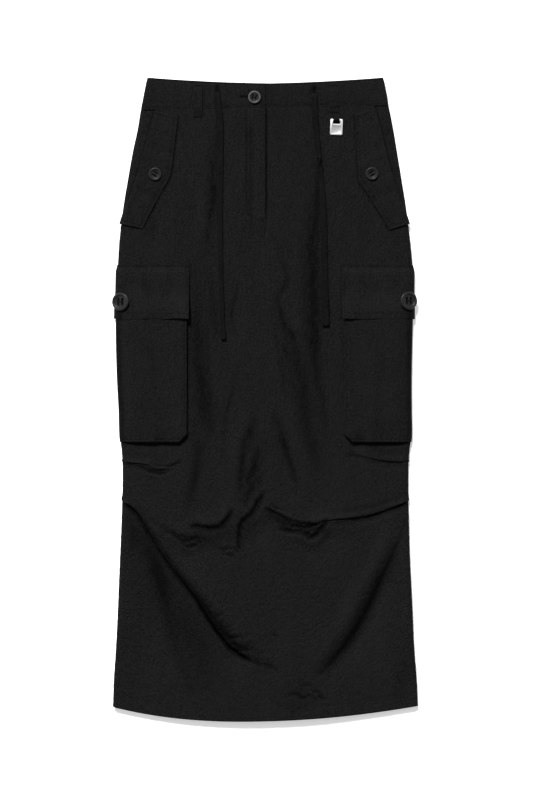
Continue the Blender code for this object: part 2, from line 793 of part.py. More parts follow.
def fold_turn(side, reach, down):
    """How far round the side fold a place is: 0 at its front end and 1 at its back end."""
    return np.clip((reach - flat_reach(side, down)) / FOLD_ARC, 0.0, 1.0)


def pocket_rest(side, reach, down):
    """Clear depth under a cargo pocket's face: full in front, and pressed flat at the side."""
    rise = 0.2 + 0.8 * smooth(down, POCKET_TOP, 0.335)
    flat = flat_reach(side, down)
    return LAY_GAP + POCKET_DEPTH * rise * (1.0 - smooth(reach, flat - 0.016, flat + FOLD_ARC / 2))


def cargo_flap_rest(side, reach, down):
    """Clear depth under a cargo flap, which lies on its pocket and flares at the fold."""
    turn = fold_turn(side, reach, down)
    flare = CARGO_FLAP_FLARE * smooth(down, 0.300, CARGO_FLAP_BOTTOM)
    flare = flare * smooth(turn, 0.0, 0.5) * (1.0 - smooth(turn, 0.5, 0.9))
    pocket = pocket_rest(side, reach, np.maximum(down, POCKET_TOP)) + WALL
    return LAY_GAP + smooth(down, POCKET_TOP - 0.008, POCKET_TOP) * pocket + flare


def make_cargo_pocket(side):
    """The face of a bellows pocket, wrapped round the side fold."""
    u, down = [], []
    for row in POCKET_ROWS:
        inner = POCKET_INNER + max(0.0, row - (POCKET_BOTTOM - POCKET_CORNER))
        u.append(wrapped(side, row, inner))
        down.append(row + 0.0 * u[-1])
    u, down = np.array(u), np.array(down)
    return lay(f"cargo_pocket_{SIDE_NAMES[side]}", side * u, down, pocket_rest(side, u, down), WALL)


def make_cargo_flap(side):
    """The flap over a cargo pocket, wrapped round the side fold."""
    u = np.array([wrapped(side, row, CARGO_FLAP_INNER) for row in CARGO_FLAP_ROWS])
    down = np.array(CARGO_FLAP_ROWS)[:, None] + 0.0 * u
    return lay(f"cargo_flap_{SIDE_NAMES[side]}", side * u, down, cargo_flap_rest(side, u, down), WALL)


class GussetPoint(NamedTuple):
    """A point under the pocket face's edge, and how far the gusset's foot spreads there."""

    reach: float
    down: float
    spread_in: float
    spread_down: float


def gusset_path(side):
    """The gusset's run: down the inner edge, round the cut corner and along the bottom."""
    inset = WALL / 2 + GAP
    inner, low = POCKET_INNER + inset, POCKET_BOTTOM - inset
    flat = float(flat_reach(side, low))
    run = [GussetPoint(inner, down, spread, 0.0) for down, spread in (
        (0.288, 0.0006), (0.3435, 0.0008), (0.400, 0.0010), (0.450, 0.0016), (0.485, 0.0030))]
    run.append(GussetPoint(inner, low - POCKET_CORNER, GUSSET_SPREAD, 0.3 * GUSSET_SPREAD))
    run.append(GussetPoint(inner + POCKET_CORNER, low, 0.3 * GUSSET_SPREAD, 0.8 * GUSSET_SPREAD))
    run += [GussetPoint(reach, low, 0.0, spread) for reach, spread in (
        (0.135, 0.0030), (0.165, 0.0028), (flat - 0.016, 0.0024), (flat - 0.008, 0.0018))]
    return run


def make_gusset(side):
    """The strip that stands between the skirt and the edge of a cargo pocket's face."""
    rows = []
    path = gusset_path(side)
    reach = np.array([point.reach for point in path])
    down = np.array([point.down for point in path])
    spread_in = np.array([point.spread_in for point in path])
    spread_down = np.array([point.spread_down for point in path])
    top = pocket_rest(side, reach, down) - 2 * GAP
    for share in (0.0, 0.5, 1.0):
        foot = 1.0 - share
        point, normal, _ = tube_frame(side * (reach - foot * spread_in), down + foot * spread_down)
        rows.append(point + normal * blend(2 * GAP, top, share)[:, None])
    middle = np.array(rows)
    return wall(f"cargo_gusset_{SIDE_NAMES[side]}", middle, grid_normals(middle), WALL, NYLON)


# --- Straps ---------------------------------------------------------------------------------------------

def make_belt_loop(side, across, end):
    """A belt loop, sewn down at both ends and arched clear of the waistband between."""
    rows = (LOOP_TOP, LOOP_TOP + 0.004, LOOP_TOP + 0.006, LOOP_TOP + 0.008, LOOP_TOP + 0.010,
            (LOOP_TOP + end) / 2, end - 0.010, end - 0.008, end - 0.006, end - 0.004, end)
    u, down = np.meshgrid(side * across + LOOP_WIDTH * np.array((-0.5, 0.0, 0.5)), rows)
    arch = smooth(down, LOOP_TOP + 0.004, LOOP_TOP + 0.010) * (1 - smooth(down, end - 0.010, end - 0.004))
    rest = GAP + LOOP_ARCH * arch + STRAP_WALL / 2
    point, normal, tangent = tube_frame(u, down)
    folded = section_normals(down, rest, normal, tangent)
    middle = point + normal * rest[..., None]
    return wall(f"belt_loop_{SIDE_NAMES[side]}", middle, folded, STRAP_WALL, NYLON)


def make_back_loop():
    """The belt loop at the centre back, pressed flat under the skirt."""
    down, place = np.meshgrid(np.linspace(LOOP_TOP, LOOP_END, 5), (0.0065, 0.0, -0.0065), indexing="ij")
    return lay("belt_loop_back", 2 * seam_u(LEFT, down) - place, down, GAP, STRAP_WALL)


def tie_grid(side, first, last, steps, width):
    """Places of a stretch of drawcord tie: three columns along its run."""
    down = np.linspace(first, last, steps)[:, None] + np.zeros((1, 3))
    across = read(TIES[side], "down", "across", down)
    wide = read(TIES[side], "down", "width", down) if width is None else width
    return across + wide * np.array((-0.5, 0.0, 0.5)), down


def make_tie(side):
    """A flat drawcord tie lying down the front, from the waistband to its sewn end."""
    u, down = tie_grid(side, TIES[side][0].down, TIES[side][-1].down, 34, None)
    return lay(f"drawcord_{SIDE_NAMES[side]}", u, down, TIE_REST, TIE_WALL, TIE_NYLON)


def make_tie_end(side):
    """The tie's end, folded back on the tie and sewn."""
    last = TIES[side][-1].down
    steps = 3 + round(TIE_END_LENGTH[side] / 0.010)
    u, down = tie_grid(side, last - TIE_END_LENGTH[side], last, steps, TIE_END_WIDTH[side])
    rest = TIE_REST + TIE_WALL + GAP
    return lay(f"drawcord_end_{SIDE_NAMES[side]}", u, down, rest, TIE_WALL, TIE_NYLON)


# --- Buttons --------------------------------------------------------------------------------------------

def turned(name, profile, segments, finish):
    """A closed solid turned about its own Z from a profile of radius and height."""
    vertices = [(0.0, 0.0, profile[0][1])]
    for radius, height in profile[1:-1]:
        for k in range(segments):
            angle = 2 * math.pi * k / segments
            vertices.append((radius * math.cos(angle), radius * math.sin(angle), height))
    vertices.append((0.0, 0.0, profile[-1][1]))
    last = len(vertices) - 1
    rings = len(profile) - 2
    faces = []
    for k in range(segments):
        n = (k + 1) % segments
        faces.append((0, 1 + n, 1 + k))
        for ring in range(rings - 1):
            low, high = 1 + ring * segments, 1 + (ring + 1) * segments
            faces.append((low + k, low + n, high + n, high + k))
        top = 1 + (rings - 1) * segments
        faces.append((last, top + k, top + n))
    return add_object(name, vertices, faces, finish)


def use_boolean(target, other, operation):
    """Cut another solid out of this one, or join it on, with a Boolean that stays live."""
    other.hide_render = True
    other.display_type = "WIRE"
    other.parent = target
    modifier = target.modifiers.new(other.name, "BOOLEAN")
    modifier.operation = operation
    modifier.solver = "EXACT"
    modifier.object = other


def cut_away(target, cutter):
    """Take one solid out of another."""
    use_boolean(target, cutter, "DIFFERENCE")


def block(name, low, high, finish=NYLON):
    """A rectangular solid between two corners."""
    x, y, z = zip(low, high)
    vertices = [(x[i], y[j], z[k]) for i in (0, 1) for j in (0, 1) for k in (0, 1)]
    faces = [(0, 1, 3, 2), (4, 6, 7, 5), (0, 4, 5, 1), (2, 3, 7, 6), (0, 2, 6, 4), (1, 5, 7, 3)]
    return add_object(name, vertices, faces, finish)


def place_on_tube(target, u, down, rest, turn=0.0):
    """Stand an object on the tube, its own X round the tube, +Y towards the waist, Z out."""
    point, normal, tangent = tube_frame(u, down)
    out, up = Vector(normal), Vector(-tangent)
    across = up.cross(out).normalized()
    axes = Matrix((across, up, out)).transposed().to_4x4()
    matrix = Matrix.Translation(Vector(point) + out * rest) @ axes @ Matrix.Rotation(turn, 4, "Z")
    target.matrix_world = matrix
    return matrix


def make_button(place, rest, u):
    """A rimmed round button with a sunk centre and two long slots, sewn flat on the cloth."""
    radius = place.diameter / 2
    height = 0.0022 + 0.07 * place.diameter
    sunk = 0.60 * height
    profile = (
        (0.0, 0.0), (0.82 * radius, 0.0), (0.97 * radius, 0.22 * height), (radius, 0.50 * height),
        (0.95 * radius, 0.88 * height), (0.86 * radius, height), (0.70 * radius, 0.94 * height),
        (0.60 * radius, sunk), (0.0, sunk),
    )
    button = turned(place.name, profile, BUTTON_SEGMENTS, BUTTON_PLASTIC)
    for number, across in enumerate((-0.135, 0.135)):
        middle, half = across * place.diameter, 0.055 * place.diameter
        low = (middle - half, -0.20 * place.diameter, -0.001)
        high = (middle + half, 0.20 * place.diameter, 0.010)
        cut_away(button, block(f"{place.name}_slot_{number}", low, high))
    place_on_tube(button, u, place.down, rest, place.slot_turn)
    return button


def flap_place(side, down):
    """Where a cargo button stands: on the flap, where it turns down over the side."""
    def outer(reach, level):
        point, normal, _ = tube_frame(side * reach, level)
        return point + normal * float(cargo_flap_rest(side, reach, level) + WALL)

    reach = float(flat_reach(side, down)) + CARGO_BUTTON_REACH
    across = Vector(outer(reach + 0.007, down) - outer(reach - 0.007, down)) * side
    up = Vector(outer(reach, down - 0.010) - outer(reach, down + 0.010))
    out = across.cross(up).normalized()
    up = out.cross(across).normalized()
    axes = Matrix((across.normalized(), up, out)).transposed().to_4x4()
    return Matrix.Translation(Vector(outer(reach, down)) + out * CARGO_BUTTON_REST) @ axes


def make_buttons():
    """The waist, hip and cargo buttons, each resting on the cloth that it fastens."""
    make_button(WAIST_BUTTON, BAND_LIFT + GAP, RIGHT * WAIST_BUTTON.across)
    for place in HIP_BUTTONS:
        make_button(place, HIP_FLAP_REST + WALL + GAP, place.side * place.across)
    for place in CARGO_BUTTONS:
        button = make_button(place, 0.0, 0.0)
        button.matrix_world = flap_place(place.side, place.down) @ Matrix.Rotation(
            place.slot_turn, 4, "Z")


# --- Metal tag --------------------------------------------------------------------------------------------

def outline_plate(name, points, thickness, finish):
    """A flat plate of an outline in its own XY plane, half its thickness each side."""
    count = len(points)
    vertices = [(x, y, z) for z in (-thickness / 2, thickness / 2) for x, y in points]
    faces = [tuple(reversed(range(count))), tuple(range(count, 2 * count))]
    faces += [(k, (k + 1) % count, count + (k + 1) % count, count + k) for k in range(count)]
    return add_object(name, vertices, faces, finish)


def rounded_rectangle(low, high, radius, steps):
    """Points of a rectangle with round corners, anticlockwise."""
    points = []
    corners = ((high[0], high[1], 0), (low[0], high[1], 1), (low[0], low[1], 2), (high[0], low[1], 3))
    for x, y, quarter in corners:
        middle_x = x - math.copysign(radius, x - (low[0] + high[0]) / 2)
        middle_y = y - math.copysign(radius, y - (low[1] + high[1]) / 2)
        for k in range(steps + 1):
            angle = math.pi / 2 * (quarter + k / steps)
            points.append((middle_x + radius * math.cos(angle), middle_y + radius * math.sin(angle)))
    return points


def make_tag(pivot):
    """The plain metal tag: a plate with two posts, a bar between them and a sunk face."""
    half = TAG_WIDTH / 2
    outline = rounded_rectangle((-half, -TAG_LENGTH), (half, TAG_TOP), 0.0016, 4)
    tag = outline_plate("tag", outline, TAG_WALL, STEEL)
    slot = half - TAG_POST
    cut_away(tag, block("tag_slot", (-slot, -TAG_SLOT_LOW, -0.003), (slot, 0.006, 0.003), STEEL))
    bar_half = slot + 0.0010
    bar = turned("tag_bar", ((0.0, -bar_half), (BAR_RADIUS, -bar_half), (BAR_RADIUS, bar_half),
                             (0.0, bar_half)), 12, STEEL)
    bar.rotation_euler = (0.0, math.pi / 2, 0.0)
    use_boolean(tag, bar, "UNION")
    edge = 0.0021
    low = (-half + edge, -TAG_LENGTH + edge, TAG_WALL / 2 - 0.0003)
    high = (half - edge, -TAG_SLOT_LOW - edge, 0.003)
    cut_away(tag, block("tag_face", low, high, STEEL))
    tag.parent = pivot
    tag.matrix_parent_inverse = Matrix.Identity(4)
    tag.rotation_euler = (TAG_LEAN, 0.0, 0.0)
    return tag


def make_tag_strip(pivot):
    """The narrow strip of cloth folded round the tag's bar, its ends under the belt loop."""
    radius = BAR_RADIUS + GAP + STRIP_WALL / 2
    far = TAG_PLACE[1] - TAGGED_LOOP_END - 2 * GAP
    section = [(far, -0.0006), (0.8 * far, -0.0005), (0.5 * far, 0.4 * radius), (0.0018, 0.96 * radius)]
    for k in range(9):
        angle = math.pi / 2 + math.pi * k / 8
        section.append((radius * math.cos(angle), radius * math.sin(angle)))
    section += [(0.4 * far, -radius), (far, -radius)]
    y, z = np.array(section).T
    x = np.array((-0.5, 0.5)) * STRIP_WIDTH
    middle = np.stack(np.broadcast_arrays(x[None, :], y[:, None], z[:, None]), axis=-1)
    run, rise = np.gradient(y), np.gradient(z)
    length = np.hypot(run, rise)
    normal = np.stack([0 * y, -rise / length, run / length], axis=-1)[:, None, :] + 0.0 * middle
    strip = wall("tag_strip", middle, normal, STRIP_WALL, NYLON)
    strip.parent = pivot
    return strip


def make_tag_and_strip():
    """The tag and its strip, placed by an empty whose X is the tag's hinge."""
    pivot = bpy.data.objects.new("tag_hinge", None)
    bpy.context.scene.collection.objects.link(pivot)
    place_on_tube(pivot, TAG_PLACE[0], TAG_PLACE[1], BAR_HEIGHT, TAG_TURN)
    make_tag(pivot)
    make_tag_strip(pivot)


def make_skirt():
    """Every piece of the skirt."""
    for side in (RIGHT, LEFT):
        make_front(side)
        make_facing(side)
        make_hip_flap(side)
        make_cargo_pocket(side)
        make_gusset(side)
        make_cargo_flap(side)
        make_tie(side)
        make_tie_end(side)
    make_back()
    make_front_band(RIGHT, RIGHT_BAND_PLACES)
    make_front_band(LEFT, LEFT_BAND_PLACES)
    make_back_band()
    make_belt_loop(RIGHT, 0.0961, LOOP_END)
    make_belt_loop(LEFT, 0.0970, TAGGED_LOOP_END)
    make_back_loop()
    make_buttons()
    make_tag_and_strip()


for leftover in list(bpy.data.objects):
    bpy.data.objects.remove(leftover, do_unlink=True)

make_skirt()
bpy.context.view_layer.update()
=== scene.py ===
"""Looks of a long cargo utility skirt in black nylon, laid flat and face up on a pale floor.

The skirt is one flattened tube of cloth. Every place on it has a reach, the distance round the tube
from the centre front line, and a down, the distance below the top corners of the waist. A signed
reach is called u, and is positive towards the wearer's left. Each sewn piece is a fine thin shell
laid on the form of its own solid, with folds and creases placed one by one. Lengths are in metres.
"""

from __future__ import annotations

import logging
import math
from dataclasses import dataclass, field
from enum import Enum
from typing import Callable, NamedTuple, Sequence

import bpy
import numpy as np
from bpy.types import ID, Material, Node, NodeSocket, NodeTree, Object, bpy_prop_collection
from mathutils import Matrix, Vector

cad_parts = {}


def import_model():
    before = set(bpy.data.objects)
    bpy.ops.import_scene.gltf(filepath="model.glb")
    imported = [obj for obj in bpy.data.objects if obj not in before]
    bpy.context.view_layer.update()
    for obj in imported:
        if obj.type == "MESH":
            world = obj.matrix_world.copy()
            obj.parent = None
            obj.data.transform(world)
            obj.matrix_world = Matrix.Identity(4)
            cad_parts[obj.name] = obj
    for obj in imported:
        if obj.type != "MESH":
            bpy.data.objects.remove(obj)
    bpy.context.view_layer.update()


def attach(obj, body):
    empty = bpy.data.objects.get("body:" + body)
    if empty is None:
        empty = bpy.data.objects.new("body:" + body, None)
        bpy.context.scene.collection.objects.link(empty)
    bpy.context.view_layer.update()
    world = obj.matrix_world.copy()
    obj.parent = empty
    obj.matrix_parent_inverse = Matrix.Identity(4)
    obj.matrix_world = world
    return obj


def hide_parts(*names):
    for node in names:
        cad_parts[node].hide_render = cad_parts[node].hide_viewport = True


log = logging.getLogger("skirt")

Array = np.ndarray
Value = Array | float
Rows = tuple[tuple[float, ...], ...]
Rgba = tuple[float, float, float, float]
Surface = Callable[[Array, Array], tuple[Array, Array]]
SKIRT_BODY = "skirt"
TAG_BODY = "tag"
MM = 0.001
HEM = 0.0185
LEAST_SIZE = 0.0101
EDGE_STATIONS = (0.0005, 0.0014, 0.0022, 0.0030, 0.0038)


class Side(Enum):
    """The wearer's right or left half."""

    RIGHT = -1
    LEFT = 1

    @property
    def sign(self) -> int:
        """-1 for the right half and 1 for the left."""
        return self.value

    @property
    def label(self) -> str:
        """The side's word in the names of pieces."""
        return self.name.lower()


class Slot(Enum):
    """The record's material slots."""

    NYLON = "nylon"
    TIE = "tie_nylon"
    BUTTON = "button_plastic"
    STEEL = "steel"


class Hold(Enum):
    """How a sheet of cloth is kept in its shape."""

    LAID = "laid"
    FOLDED = "folded"


class FarEnd(Enum):
    """What is on the free end of a tie."""

    BARE = "bare"


# --- Small mathematics ---


def places(width: int, *numbers: int) -> Rows:
    """Rows of so many lengths, given in tenths of a millimetre."""
    return tuple(tuple(n / 10000 for n in row) for row in zip(*[iter(numbers)] * width))


def course(*numbers: int, width: int = 3) -> Rows:
    """Rows of lengths in tenths of a millimetre that end with a share in hundredths."""
    rows = zip(*[iter(numbers)] * width)
    return tuple((*(n / 10000 for n in row[:-1]), row[-1] / 100) for row in rows)


def smooth(value: Value, start: float, end: float) -> Array:
    """A soft step: 0 up to start, 1 from end on and an S between."""
    share = np.clip((value - start) / (end - start), 0.0, 1.0)
    return share * share * (3.0 - 2.0 * share)


def window(value: Value, low: float, high: float, ramp: float) -> Array:
    """A soft band: 1 from low to high, and 0 beyond a ramp on each side."""
    return smooth(value, low - ramp, low) * (1.0 - smooth(value, high, high + ramp))


def bell(value: Value, width: float, power: int = 2) -> Array:
    """A soft bell that is 1 where value is 0 and falls off over its width."""
    return np.exp(-((value / width) ** power))


def fall(value: Array, width: float) -> Array:
    """1 up to where value is 0, and falling off after it by its width."""
    return np.exp(-np.clip(value, 0, 1) / width)


def run_length(points: Array) -> Array:
    """The distance travelled along a line of places at each of them, from 0."""
    return np.concatenate([[0.0], np.cumsum(np.hypot(*np.diff(points[:, :2], axis=0).T))])


def between(first: Value, second: Value, share: Value) -> Array:
    """first at share 0 and second at share 1."""
    return first + (second - first) * share


def read(table: Rows, at: Value, column: int = 1) -> Array:
    """A table's column on a smooth curve through its rows.

    Args:
        table: Rows that begin with their place.
        at: The places to read.
        column: Which number of a row to read.

    Returns:
        The value at each place, level beyond the table's ends.
    """
    rows = np.array(table, float)
    xs, ys = rows[:, 0], rows[:, column]
    slopes = np.gradient(ys, xs)
    at = np.clip(at, xs[0], xs[-1])
    i = np.clip(np.searchsorted(xs, at, side="right") - 1, 0, len(xs) - 2)
    span = xs[i + 1] - xs[i]
    t = (at - xs[i]) / span
    start = (2 * t**3 - 3 * t**2 + 1) * ys[i] + (t**3 - 2 * t**2 + t) * span * slopes[i]
    end = (3 * t**2 - 2 * t**3) * ys[i + 1] + (t**3 - t**2) * span * slopes[i + 1]
    return start + end


def straight(table: Rows, at: Value, column: int = 1) -> Array:
    """A table's column on straight lines between its rows."""
    rows = np.array(table, float)
    return np.interp(at, rows[:, 0], rows[:, column])


def unit(vectors: Array) -> Array:
    """Vectors scaled to length 1."""
    return vectors / np.maximum(np.linalg.norm(vectors, axis=-1, keepdims=True), 1e-12)


def grid_normals(points: Array) -> Array:
    """Normals of a grid of points, from its rows and columns."""
    return unit(np.cross(np.gradient(points, axis=0), np.gradient(points, axis=1)))


def graded(length: float, first: Sequence[float], last: Sequence[float], pitch: float) -> Array:
    """Stations along a length, fine near its ends and even between.

    Args:
        length: The whole length.
        first: Distances from the start that need a station.
        last: Distances from the end that need a station.
        pitch: Spacing of the rest.

    Returns:
        The stations from 0 to length.
    """
    head = np.array([0.0, *first])
    tail = length - np.array([0.0, *last])[::-1]
    steps = max(2, round((tail[0] - head[-1]) / pitch) + 1)
    return np.concatenate([head, np.linspace(head[-1], tail[0], steps)[1:-1], tail])


def curve_through(path: Array, spacing: float) -> Array:
    """A smooth curve through points, with the points' other numbers carried along.

    Args:
        path: Rows whose first two numbers are the place.
        spacing: The distance between two points of the curve.

    Returns:
        The curve's points.
    """
    before = 2 * path[:1] - path[1:2]
    after = 2 * path[-1:] - path[-2:-1]
    held = np.concatenate([before, path, after])
    found = []
    for p, a, b, n in zip(held[:-3], held[1:-2], held[2:-1], held[3:]):
        steps = max(2, math.ceil(float(np.hypot(*(b - a)[:2])) / spacing))
        t = np.linspace(0.0, 1.0, steps, endpoint=False)[:, None]
        rise = (b - p) * t + (2 * p - 5 * a + 4 * b - n) * t**2 + (3 * a - p - 3 * b + n) * t**3
        found.append(a + 0.5 * rise)
    return np.concatenate([*found, path[-1:]])


def ripple(along: Value, wave: float, phase: float) -> Array:
    """An uneven wave from -1 to 1.

    Args:
        along: Distance along the line that ripples.
        wave: The usual length of one wave.
        phase: Where in the wave it starts.

    Returns:
        The wave's height at each place.
    """
    k = 2 * math.pi / wave
    first = np.sin(k * along + phase)
    return 0.5 * first + 0.3 * np.sin(1.63 * k * along + 2.1 * phase) + 0.2 * np.sin(
        0.57 * k * along + 0.7 * phase
    )


# --- Form of the laid skirt ---


class TubeFrame(NamedTuple):
    """Points of the tube with their outward normals and downward tangents."""

    point: Array
    normal: Array
    tangent: Array


@dataclass(frozen=True)
class BroadFold:
    """A broad ridge in the front, or a hollow where height is negative, with a valley below it."""

    height: float
    width: float
    valley: float
    path: Rows

    def lift(self, across: Array, down: Array) -> Array:
        """Height that the fold adds to the front.

        Args:
            across: Distance from the centre line.
            down: Distance below the waist corners.

        Returns:
            The height at each place.
        """
        nearest = np.full(np.shape(across), np.inf)
        lift = np.zeros(np.shape(across))
        for (ax, ad, a_strength), (bx, bd, b_strength) in zip(self.path[:-1], self.path[1:]):
            rx, rd = bx - ax, bd - ad
            along = np.clip(((across - ax) * rx + (down - ad) * rd) / (rx * rx + rd * rd), 0.0, 1.0)
            off = np.hypot(across - ax - along * rx, down - ad - along * rd)
            below = np.sign((down - ad) * abs(rx) - (across - ax) * rd * np.sign(rx))
            place = off * below / self.width
            ridge = np.exp(-(place**2)) - self.valley * np.exp(-(((place - 1.8) / 1.3) ** 2))
            strength = self.height * between(a_strength, b_strength, along)
            closer = off < nearest
            lift = np.where(closer, strength * ridge, lift)
            nearest = np.where(closer, off, nearest)
        return lift


BROAD_FOLDS = (
    BroadFold(0.005, 0.014, 0.3, course(-1470, 6490, 20, -1160, 6950, 80, -870, 7360, 100, -620,
        7740, 100, -380, 8020, 80, -100, 8180, 40, 190, 8320, 0)),
    BroadFold(0.005, 0.013, 0.45, course(1800, 6390, 10, 1660, 6720, 70, 1505, 7065, 100, 1310,
        7450, 100, 1080, 7845, 90, 840, 8180, 60, 660, 8410, 0)),
    BroadFold(0.003, 0.014, 0.5, course(1200, 6290, 30, 770, 6330, 100, 640, 6500, 70, 210, 6400,
        0)),
    BroadFold(0.0032, 0.015, 0.5, course(-1360, 6460, 10, -1160, 6550, 80, -950, 6410, 90, -666,
        6380, 90, -480, 6170, 50, -300, 5980, 0)),
    BroadFold(0.0026, 0.015, 0.5, course(-40, 5950, 0, -200, 6230, 100, -360, 6430, 80, -400, 6640,
        0)),
    BroadFold(-0.0026, 0.026, 0.0, course(-1720, 6900, 0, -1550, 7450, 90, -1400, 8000, 100, -1250,
        8660, 40)),
    BroadFold(-0.0024, 0.026, 0.0, course(1860, 7000, 0, 1720, 7500, 90, 1500, 8150, 100, 1320,
        8750, 40)),
    BroadFold(-0.0014, 0.014, 0.0, course(-860, 3300, 0, -910, 4000, 100, -940, 4500, 100, -880,
        5200, 0)),
    BroadFold(-0.0012, 0.014, 0.0, course(860, 2200, 0, 900, 3200, 80, 940, 4000, 80, 900, 4800,
        0)),
    BroadFold(0.002, 0.017, 0.0, course(-20, 4550, 0, -120, 5000, 100, -350, 5740, 0)),
    BroadFold(0.002, 0.017, 0.0, course(40, 4550, 0, 180, 5100, 100, 460, 5880, 0)),
    BroadFold(0.0016, 0.017, 0.0, course(100, 2270, 0, 180, 3180, 100, 400, 3650, 100, 450, 4430,
        0)),
)


@dataclass(frozen=True)
class SkirtForm:
    """The form that every sewn piece is laid on: a flattened tube with soft broad folds."""

    top_y: float = 0.458
    waist_dip: float = 0.0088
    band_bottom: float = 0.0435
    band_slant: float = -0.0032
    hem_side: float = 0.8903
    hem_drop: float = 0.0245
    hem_skew: float = -0.006
    fold_reach: float = 0.0065
    fold_arc: float = 0.0175
    side_height: float = 0.0105
    seam_height: float = 0.0062
    crown: float = 0.0042
    layer: float = 0.0016
    loop_layer: float = 0.0017
    pocket_span: tuple[float, float] = (0.2760, 0.5180)
    flap_span: tuple[float, float] = (0.2665, 0.3435)
    loop_span: tuple[float, float] = (0.0065, 0.0565)
    side_line: Rows = places(3, 0, 1684, 1674, 210, 1725, 1713, 460, 1777, 1761, 720, 1819, 1812,
        1060, 1891, 1869, 1480, 1965, 1937, 1800, 2019, 1988, 2080, 2055, 2024, 2400, 2087, 2063,
        2650, 2101, 2084, 3000, 2110, 2086, 3450, 2118, 2078, 3900, 2113, 2067, 4300, 2100, 2061,
        4750, 2077, 2063, 5100, 2067, 2066, 5400, 2041, 2037, 5720, 2034, 2029, 6030, 2042, 2032,
        6400, 2054, 2040, 6800, 2071, 2051, 7150, 2086, 2068, 7520, 2101, 2087, 8120, 2131, 2114,
        8560, 2160, 2148, 9160, 2178, 2172)
    mouth: Rows = places(2, 460, 232, 880, 200, 1350, 161, 1600, 118, 1800, 88, 2092, 50, 2112, 0)
    folds: tuple[BroadFold, ...] = BROAD_FOLDS

    def half_width(self, sign: Array | int, down: Value) -> Array:
        """Distance from the centre line to the outermost point of the side fold."""
        right, left = read(self.side_line, down), read(self.side_line, down, 2)
        return np.where(np.asarray(sign) < 0, right, left)

    def flat_reach(self, sign: Array | int, down: Value) -> Array:
        """Where the flat front ends and the side fold begins."""
        return self.half_width(sign, down) - self.fold_reach

    def seam_reach(self, sign: Array | int, down: Value) -> Array:
        """Distance round the tube to the side seam."""
        return self.flat_reach(sign, down) + self.fold_arc / 2

    def mouth_inboard(self, down: Value) -> Array:
        """How far inboard of the side seam the slanted pocket mouth lies."""
        return straight(self.mouth, down)

    def waist_line(self, place: Value) -> Array:
        """The top edge's down, at a place from -1 at the right side seam to 1 at the left."""
        return self.waist_dip * (1.0 - np.abs(place) ** 1.5)

    def band_seam(self, place: Value) -> Array:
        """The waistband's lower seam's down, at a place from -1 to 1."""
        return self.band_bottom + self.band_slant * place

    def hem_line(self, place: Value) -> Array:
        """The hem's down, at a place from -1 to 1."""
        droop = self.hem_drop * (1.0 - np.abs(place) ** 2.2)
        return self.hem_side + droop + self.hem_skew * place * (1.0 - place**2)

    def back_height(self, across: Array, down: Array) -> Array:
        """Height of the back's underside, which rises over the pockets and loop beneath it."""
        reach = np.abs(across)
        wide = smooth(reach, 0.098, 0.106)
        layers = window(down, *self.pocket_span, 0.008) + window(down, *self.flap_span, 0.008)
        loop = window(down, *self.loop_span, 0.008) * (1.0 - smooth(reach, 0.0075, 0.0155))
        return self.layer * layers * wide + self.loop_layer * loop

    def front_height(self, across: Array, down: Array) -> Array:
        """Height of the front's outer face above the floor."""
        reach = np.abs(across) / self.flat_reach(across, down)
        crown = self.crown * (1.0 - np.clip(reach, 0.0, 1.0) ** 2) ** 2
        folds = sum(fold.lift(across, down) for fold in self.folds)
        return self.side_height + crown + folds * (1.0 - smooth(reach, 0.90, 0.98))

    def point(self, u: Array, down: Array) -> Array:
        """Points of the tube's outer face: flat front, round side fold, flat back.

        Args:
            u: Signed distance round the tube from the centre front.
            down: Distance below the waist corners.

        Returns:
            The points, with x, y and z last.
        """
        sign = np.where(u < 0, -1, 1)
        along = np.abs(u)
        flat = self.flat_reach(sign, down)
        turn = np.clip((along - flat) / self.fold_arc, 0.0, 1.0) * math.pi
        under = np.maximum(along - flat - self.fold_arc, 0.0)
        front = np.minimum(along, flat)
        across = front + self.fold_reach * np.sin(turn) - under
        top = self.front_height(sign * front, down)
        low = self.back_height(sign * (flat - under), down)
        half = np.where(turn < math.pi / 2, top - self.seam_height, self.seam_height - low)
        height = self.seam_height + half * np.cos(turn)
        return np.stack(np.broadcast_arrays(sign * across, self.top_y - down, height), axis=-1)

    def frame(self, u: Value, down: Value) -> TubeFrame:
        """Points, outward normals and downward tangents of the tube."""
        step = 0.0004
        u, down = np.broadcast_arrays(np.asarray(u, float), np.asarray(down, float))
        around = self.point(u + step, down) - self.point(u - step, down)
        tangent = unit(self.point(u, down + step) - self.point(u, down - step))
        return TubeFrame(self.point(u, down), unit(np.cross(tangent, around)), tangent)

    def stand(self, u: float, down: float, rest: float, turn: float) -> Matrix:
        """A place on the tube for a hard piece.

        Args:
            u: Signed distance round the tube.
            down: Distance below the waist corners.
            rest: Height above the tube.
            turn: Angle about the outward normal.

        Returns:
            A matrix with X round the tube, Y towards the waist and Z out.
        """
        found = self.frame(u, down)
        out, up = Vector(found.normal), Vector(-found.tangent)
        across = up.cross(out).normalized()
        axes = Matrix((across, up, out)).transposed().to_4x4()
        place = Matrix.Translation(Vector(found.point) + out * rest)
        return place @ axes @ Matrix.Rotation(turn, 4, "Z")


# --- Creases ---


